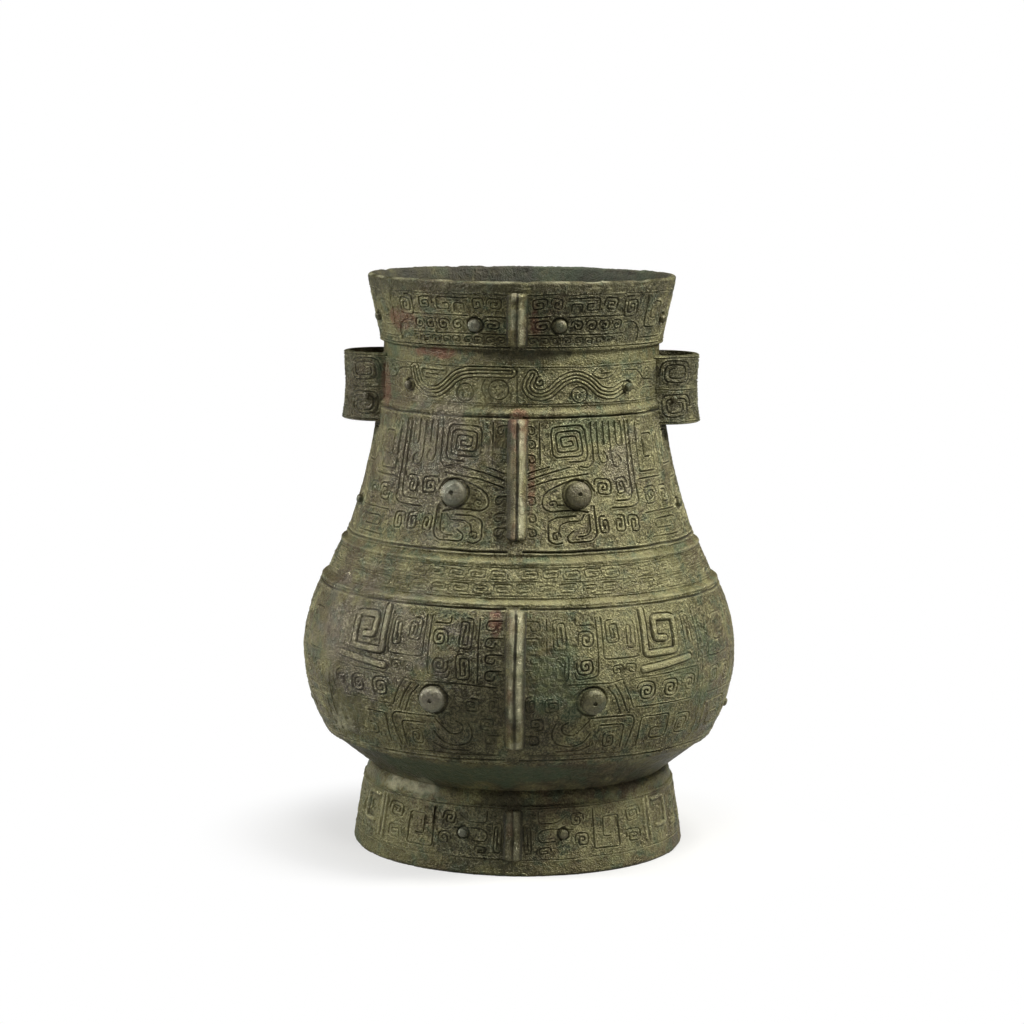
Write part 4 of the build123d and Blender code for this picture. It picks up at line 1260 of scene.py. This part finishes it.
def ranged(tree, value, low, high, to_low=0.0, to_high=1.0):
    """A value carried smoothly from one range to another."""
    ends = {"From Min": low, "From Max": high, "To Min": to_low, "To Max": to_high}
    return add(tree, "MapRange", {"Value": value, **ends}, interpolation_type="SMOOTHSTEP").outputs[0]


# Strongest share of each stain's colour, and of the painted shade and sheen
TINT_STRENGTH = {"dark": 0.85, "ochre": 0.7, "grey": 0.5, "green": 0.55, "red": 0.65, "pale": 0.8}


def patina(colours):
    """Node group of the aged surface with its painted highlights, shade and sheen: colour, roughness, metal
    and the small unevenness of the skin.
    """
    found = bpy.data.node_groups.get("aged bronze and painted light")
    if found:
        return found
    group = bpy.data.node_groups.new("aged bronze and painted light", "ShaderNodeTree")
    kinds = {"Colour": "Color", "Roughness": "Float", "Metal": "Float", "Normal": "Vector"}
    for name, kind in kinds.items():
        group.interface.new_socket(name, in_out="OUTPUT", socket_type="NodeSocket" + kind)
    place = add(group, "TexCoord").outputs["Object"]

    def grain(scale, detail=4.0, rough=0.55, twist=0.0):
        kind = {"Scale": scale, "Detail": detail, "Roughness": rough, "Distortion": twist}
        return add(group, "TexNoise", {"Vector": place, **kind}).outputs["Fac"]

    def tint(name):
        return add(group, "Attribute", attribute_name=name).outputs["Fac"]

    # base skin in patches, from broad to fine
    broad, middle, fine, speck = grain(16, 3), grain(70, 5, 0.6), grain(340, 5, 0.6), grain(1250, 2, 0.6)
    colour = blend(group, ranged(group, broad, 0.38, 0.64), colours["olive"], colours["brown"])
    colour = blend(group, ranged(group, middle, 0.42, 0.7), colour, colours["light"])
    colour = blend(group, ranged(group, fine, 0.52, 0.75, 0, 0.4), colour, colours["wear_and_highlight"])
    colour = blend(group, ranged(group, grain(110, 4, 0.6), 0.5, 0.62, 0, 0.7), colour, colours["moss"])
    colour = blend(group, ranged(group, grain(190, 4, 0.6), 0.54, 0.68, 0, 0.5), colour, colours["brown"])
    colour = blend(group, ranged(group, speck, 0.55, 0.38, 0, 0.5), colour, colours["recess"])
    colour = blend(group, ranged(group, speck, 0.57, 0.74, 0, 0.35), colour, colours["wear_and_highlight"])
    # wear and painted highlight, stains with painted sheen and painted shade, and corroded places
    wear_and_highlight = times(group, tint("wear_and_highlight"), ranged(group, middle, 0.3, 0.6, 0.2, 0.55))
    colour = blend(group, wear_and_highlight, colour, colours["wear_and_highlight"])
    for name, strength in TINT_STRENGTH.items():
        share = times(group, tint(name), ranged(group, fine, 0.3, 0.62, 0.25, strength))
        colour = blend(group, share, colour, colours[name])
    eaten = times(group, tint("eaten"), ranged(group, fine, 0.35, 0.65))
    colour = blend(group, times(group, eaten, 0.35), colour, colours["light"])
    # thunder thread: dark winding lines with paler ground between them
    curl = sums(group, "ABSOLUTE", sums(group, "SUBTRACT", grain(640, 0.0, 0.5, 0.5), 0.5))
    thread = times(group, tint("thread"), ranged(group, curl, 0.02, 0.075, 1.0, 0.0))
    colour = blend(group, times(group, thread, 0.34), colour, colours["recess"])
    crest = times(group, tint("thread"), ranged(group, curl, 0.09, 0.17, 0.0, 0.16))
    colour = blend(group, crest, colour, colours["wear_and_highlight"])
    # earth and painted shade in the cut lines, also painted shade on the neck flange's left flank and
    # inside the mouth
    earth_and_shade_mask = tint("earth_and_shade")
    dark = times(group, earth_and_shade_mask, ranged(group, middle, 0.3, 0.7, 0.85, 0.4))
    colour = blend(group, dark, colour, colours["recess"])
    rough = ranged(group, middle, 0.3, 0.7, 0.28, 0.48)
    rough = sums(group, "ADD", rough, times(group, earth_and_shade_mask, 0.3))
    rough = sums(group, "ADD", rough, times(group, eaten, 0.2))
    rough = sums(group, "SUBTRACT", rough, times(group, tint("grey"), 0.08))
    rough = sums(group, "SUBTRACT", rough, times(group, tint("wear_and_highlight"), 0.08))
    metal = ranged(group, fine, 0.35, 0.7, 0.2, 0.6)
    metal = times(group, metal, sums(group, "SUBTRACT", 1.0, earth_and_shade_mask))
    # unevenness of the skin
    coarse = add(group, "Bump", {"Strength": 0.9, "Distance": 0.0014, "Height": fine}).outputs[0]
    cut = sums(group, "SUBTRACT", speck, times(group, thread, 0.5))
    grained = {"Strength": 1.0, "Distance": 0.0010, "Height": cut, "Normal": coarse}
    skin = add(group, "Bump", grained).outputs[0]
    end = group.nodes.new("NodeGroupOutput")
    for name, value in (("Colour", colour), ("Roughness", rough), ("Metal", metal), ("Normal", skin)):
        group.links.new(value, end.inputs[name])
    return group


# Strength of the mirror-like reflection of each bronze
SHINE = {"wall_bronze": 0.36, "relief_bronze": 0.28}
# Distance from the middle beyond which a boss is a small dark one, in metres
SMALL_BOSS = (0.048, 0.056)


def bronze(slot):
    """The bronze of a slot, made once."""
    found = bpy.data.materials.get("aged_and_painted_light_" + slot)
    if found:
        return found
    look = bpy.context.scene.hu_colours
    colours = {key: (*getattr(look, key), 1.0) for key in HU_Colours.__annotations__}
    made = bpy.data.materials.new("aged_and_painted_light_" + slot)
    made.use_nodes = True
    tree = made.node_tree
    skin = tree.nodes.new("ShaderNodeGroup")
    skin.node_tree = patina(colours)
    surface = tree.nodes["Principled BSDF"]
    colour = skin.outputs["Colour"]
    rough, normal = skin.outputs["Roughness"], skin.outputs["Normal"]
    if slot == "relief_bronze":
        shape = add(tree, "NewGeometry").outputs
        edge = shape["Pointiness"]
        colour = blend(tree, ranged(tree, edge, 0.52, 0.64, 0.0, 0.4), colour, colours["wear_and_highlight"])
        # the bosses are smoother and greyer than the flanges, the eyes on the left paler as painted light
        # and those on the right darker as painted shade, and the small ones dark
        rib = add(tree, "Attribute", attribute_name="rib").outputs["Fac"]
        boss = sums(tree, "SUBTRACT", RIB_MARK, rib)
        aside = add(tree, "SeparateXYZ", {"Vector": add(tree, "TexCoord").outputs["Object"]}).outputs["X"]
        tone = blend(tree, ranged(tree, aside, -0.004, 0.004), colours["eye"], colours["steel"])
        small = ranged(tree, sums(tree, "ABSOLUTE", aside), *SMALL_BOSS, 0.0, 0.7)
        tone = blend(tree, small, tone, colours["recess"])
        colour = blend(tree, times(tree, boss, ranged(tree, edge, 0.36, 0.5, 1.3, 0.9)), colour, tone)
        even = add(tree, "Mix", data_type="VECTOR")
        feed(tree, [even.inputs[n] for n in (0, 4, 5)], (times(tree, boss, 0.8), normal, shape["Normal"]))
        normal = even.outputs[1]
        rough = sums(tree, "SUBTRACT", rough, times(tree, boss, 0.2))
    tree.links.new(rough, surface.inputs["Roughness"])
    tree.links.new(normal, surface.inputs["Normal"])
    surface.inputs["Specular IOR Level"].default_value = SHINE[slot]
    tree.links.new(colour, surface.inputs["Base Color"])
    tree.links.new(skin.outputs["Metal"], surface.inputs["Metallic"])
    return made


# Lamps: place and side in metres, power in watts and colour
LAMPS = {
    "right": ((1.20, -0.12, 1.22), 0.4, 42.0, (1, 0.98, 0.91)),
    "top right": ((0.50, -0.15, 1.70), 0.4, 21.0, (1, 0.99, 0.95)),
    "left": ((-1.30, -0.06, 0.84), 0.4, 28.0, (1, 0.985, 0.94)),
    "front top": ((0.05, -0.80, 1.60), 0.4, 10.0, (1, 0.99, 0.95)),
}
LAMP_TARGET = Vector((0, 0, 0.17))
# Camera: place in metres, turn round the vessel, downward tilt and roll in degrees, lens in millimetres
CAMERA_PLACE = (0, -1.272, 0.402)
CAMERA_ROUND, CAMERA_DOWN, CAMERA_ROLL = 2.0, 9.59, 0.45
SENSOR, LENS, LENS_SHIFT = 36, 81.28, -0.0078


def turned(degrees, axis):
    """Turn about an axis."""
    return Matrix.Rotation(math.radians(degrees), 4, axis)


class HU_OT_stage(bpy.types.Operator):
    """Sets the pale floor, the studio lights, the white surround and the camera"""

    bl_idname = "hu.stage"
    bl_label = "Stage"

    def execute(self, context):
        scene = context.scene
        floor()
        surround(scene)
        for name, (place, size, power, tone) in LAMPS.items():
            lamp = bpy.data.lights.new(name, "AREA")
            lamp.size, lamp.energy, lamp.color = size, power, tone
            stand = bpy.data.objects.new(name, lamp)
            stand.location = place
            stand.rotation_euler = (LAMP_TARGET - Vector(place)).to_track_quat("-Z", "Y").to_euler()
            scene.collection.objects.link(stand)
        lens = bpy.data.cameras.new("camera")
        lens.sensor_width, lens.lens, lens.shift_x = SENSOR, LENS, LENS_SHIFT
        lens.clip_start, lens.clip_end = 0.01, 50
        camera = bpy.data.objects.new("camera", lens)
        tilt = turned(90 - CAMERA_DOWN, "X") @ turned(CAMERA_ROLL, "Z")
        camera.matrix_world = turned(CAMERA_ROUND, "Z") @ Matrix.Translation(CAMERA_PLACE) @ tilt
        scene.collection.objects.link(camera)
        scene.camera = camera
        scene.view_settings.view_transform = "Standard"
        return {"FINISHED"}


def floor():
    """Round pale floor that fades to the white surround."""
    rings = (0.1, 0.2, 0.35, 0.6, 1.0, 1.8, 3.0, 6.0)
    verts, faces, count = [(0, 0, 0)], [], 72
    turns = [2 * math.pi * n / count for n in range(count)]
    for radius in rings:
        verts += [(radius * math.cos(a), radius * math.sin(a), 0) for a in turns]
    for r in range(len(rings)):
        for n in range(count):
            m = (n + 1) % count
            a, b = 1 + r * count + n, 1 + r * count + m
            faces.append((0, a, b) if r == 0 else (a - count, a, b, b - count))
    mesh = bpy.data.meshes.new("floor")
    mesh.from_pydata(verts, [], faces)
    made = bpy.data.objects.new("floor", mesh)
    bpy.context.scene.collection.objects.link(made)
    paint = bpy.data.materials.new("floor_white")
    paint.use_nodes = True
    tree = paint.node_tree
    tree.nodes.remove(tree.nodes["Principled BSDF"])
    seen = add(tree, "LightPath").outputs["Is Camera Ray"]
    tone = blend(tree, seen, (0.34, 0.34, 0.34, 1), (0.5, 0.5, 0.5, 1))
    diffuse = add(tree, "BsdfDiffuse", {"Color": tone})
    white = add(tree, "Emission", {"Color": (1, 1, 1, 1), "Strength": 1.0})
    # the shaded part of the floor is an oval round the foot
    place = add(tree, "TexCoord").outputs["Object"]
    squat = add(tree, "VectorMath", {0: place, 1: (1, 1.35, 1)}, operation="MULTIPLY")
    far = add(tree, "VectorMath", {0: squat.outputs["Vector"]}, operation="LENGTH")
    fade = ranged(tree, far.outputs["Value"], 0.095, 0.19, 0.5, 1.0)
    share = times(tree, fade, seen)
    mix = add(tree, "MixShader", {0: share, 1: diffuse.outputs[0], 2: white.outputs[0]})
    tree.links.new(mix.outputs[0], tree.nodes["Material Output"].inputs["Surface"])
    mesh.materials.append(paint)


def surround(scene):
    """White to the camera, a plain grey light to the object."""
    world = bpy.data.worlds.new("surround")
    scene.world = world
    world.use_nodes = True
    tree = world.node_tree
    plain = tree.nodes["Background"]
    plain.inputs["Color"].default_value = (1, 1, 1, 1)
    plain.inputs["Strength"].default_value = 0.02
    white = add(tree, "Background", {"Color": (1, 1, 1, 1), "Strength": 1.0})
    seen = add(tree, "LightPath").outputs["Is Camera Ray"]
    mix = add(tree, "MixShader", {0: seen, 1: plain.outputs[0], 2: white.outputs[0]})
    tree.links.new(mix.outputs[0], tree.nodes["World Output"].inputs["Surface"])


def length(name, description, default):
    """A size in metres."""
    return FloatProperty(
        name=name, description=description, default=default, unit="LENGTH", subtype="DISTANCE", precision=4
    )


def shade(name, description, default):
    """A colour."""
    return FloatVectorProperty(
        name=name, description=description, default=default, subtype="COLOR", size=3, min=0, max=1
    )


class HU_Sizes(bpy.types.PropertyGroup):
    """Heights of the bands within the tiers, and the lugs' sizes"""

    belly_ledge: length("Belly ledge", "Height of the ledge between belly and shoulder", 0.004)
    shoulder_ledge: length("Shoulder ledge", "Height of the ledge between shoulder and neck", 0.0055)
    neck_ledge: length("Neck ledge", "Height of the ledge between neck and dragon band", 0.005)
    dragon_band: length("Dragon band", "Height of the dragon band", 0.0215)
    lip: length("Lip", "Height of the plain lip", 0.006)
    foot_edge: length("Foot edge", "Height of the plain edge below the foot's band", 0.008)
    foot_band: length("Foot band", "Height of the foot's band of ornament", 0.030)
    lug_centre: length("Lug centre", "Distance of the lugs' centres from the axis", 0.076)
    lug_flare: length("Lug flare", "How far the lugs' lower ends flare", 0.002)
    lug_wall: length("Lug wall", "Thickness of the lugs' walls", 0.0036)


class HU_Colours(bpy.types.PropertyGroup):
    """Colours of the aged bronze"""

    olive: shade("Olive", "Main patina", (0.094, 0.089, 0.031))
    brown: shade("Brown", "Darker patina in broad patches", (0.076, 0.055, 0.027))
    light: shade("Light", "Lighter skin in small patches", (0.182, 0.172, 0.074))
    # This colour also paints highlights: along the ledges, on the flanges' crests facing the right and on
    # raised relief
    wear_and_highlight: shade("Worn", "Rubbed crests", (0.42, 0.40, 0.23))
    # This colour also paints shade: in the cut lines, on the neck flange's left flank and inside the mouth
    recess: shade("Recess", "Earth in the cut lines", (0.014, 0.013, 0.007))
    moss: shade("Moss", "Grey green in small patches", (0.050, 0.080, 0.043))
    # This colour also paints shade: the flanges' shadows on the wall, the neck flange's left side and the
    # inside of the vessel
    dark: shade("Dark", "Deep patina in sheltered places", (0.034, 0.032, 0.016))
    red: shade("Cuprite", "Red stains", (0.135, 0.045, 0.030))
    green: shade("Malachite", "Green stains", (0.055, 0.092, 0.050))
    ochre: shade("Ochre", "Lighter yellow patina in broad patches", (0.205, 0.192, 0.092))
    # This colour paints sheen: a painted reflection, mostly on the left of the neck and belly
    grey: shade("Grey", "Grey purple sheen", (0.152, 0.130, 0.112))
    # These two colours paint light on the eyes: a darker tone on the right-hand eyes as painted shade, a
    # paler one on the left-hand eyes as painted light
    steel: shade("Steel", "Dark skin of the eyes on the right", (0.080, 0.077, 0.055))
    eye: shade("Eye", "Paler skin of the eyes on the left", (0.165, 0.160, 0.136))
    # This colour also paints highlights, along the lip and on the flanges' crests
    pale: shade("Pale", "Pale encrustation", (0.33, 0.32, 0.21))


class HU_PT_panel(bpy.types.Panel):
    """Sizes, colours and steps of the vessel"""

    bl_idname = "HU_PT_panel"
    bl_label = "Hu vessel"
    bl_space_type = "VIEW_3D"
    bl_region_type = "UI"
    bl_category = "Hu vessel"

    def draw(self, context):
        column = self.layout.column()
        for group in (context.scene.hu_sizes, context.scene.hu_colours):
            for name in group.__annotations__:
                column.prop(group, name)
        for step in STEPS:
            column.operator(step.bl_idname)


STEPS = (
    HU_OT_underside,
    HU_OT_belly,
    HU_OT_shoulder,
    HU_OT_neck,
    HU_OT_collar,
    HU_OT_mouth,
    HU_OT_foot,
    HU_OT_lugs,
    HU_OT_flanges,
    HU_OT_bosses,
    HU_OT_stage,
)
CLASSES = (HU_Sizes, HU_Colours, *STEPS, HU_PT_panel)


def register():
    for kind in CLASSES:
        bpy.utils.register_class(kind)
    bpy.types.Scene.hu_sizes = PointerProperty(type=HU_Sizes)
    bpy.types.Scene.hu_colours = PointerProperty(type=HU_Colours)


def unregister():
    del bpy.types.Scene.hu_colours
    del bpy.types.Scene.hu_sizes
    for kind in reversed(CLASSES):
        bpy.utils.unregister_class(kind)


def main():
    register()
    bpy.ops.hu.underside()
    bpy.ops.hu.belly()
    bpy.ops.hu.shoulder()
    bpy.ops.hu.neck()
    bpy.ops.hu.collar()
    bpy.ops.hu.mouth()
    bpy.ops.hu.foot()
    bpy.ops.hu.lugs()
    bpy.ops.hu.flanges()
    bpy.ops.hu.bosses()
    bpy.ops.hu.stage()


if __name__ == "__main__":
    main()
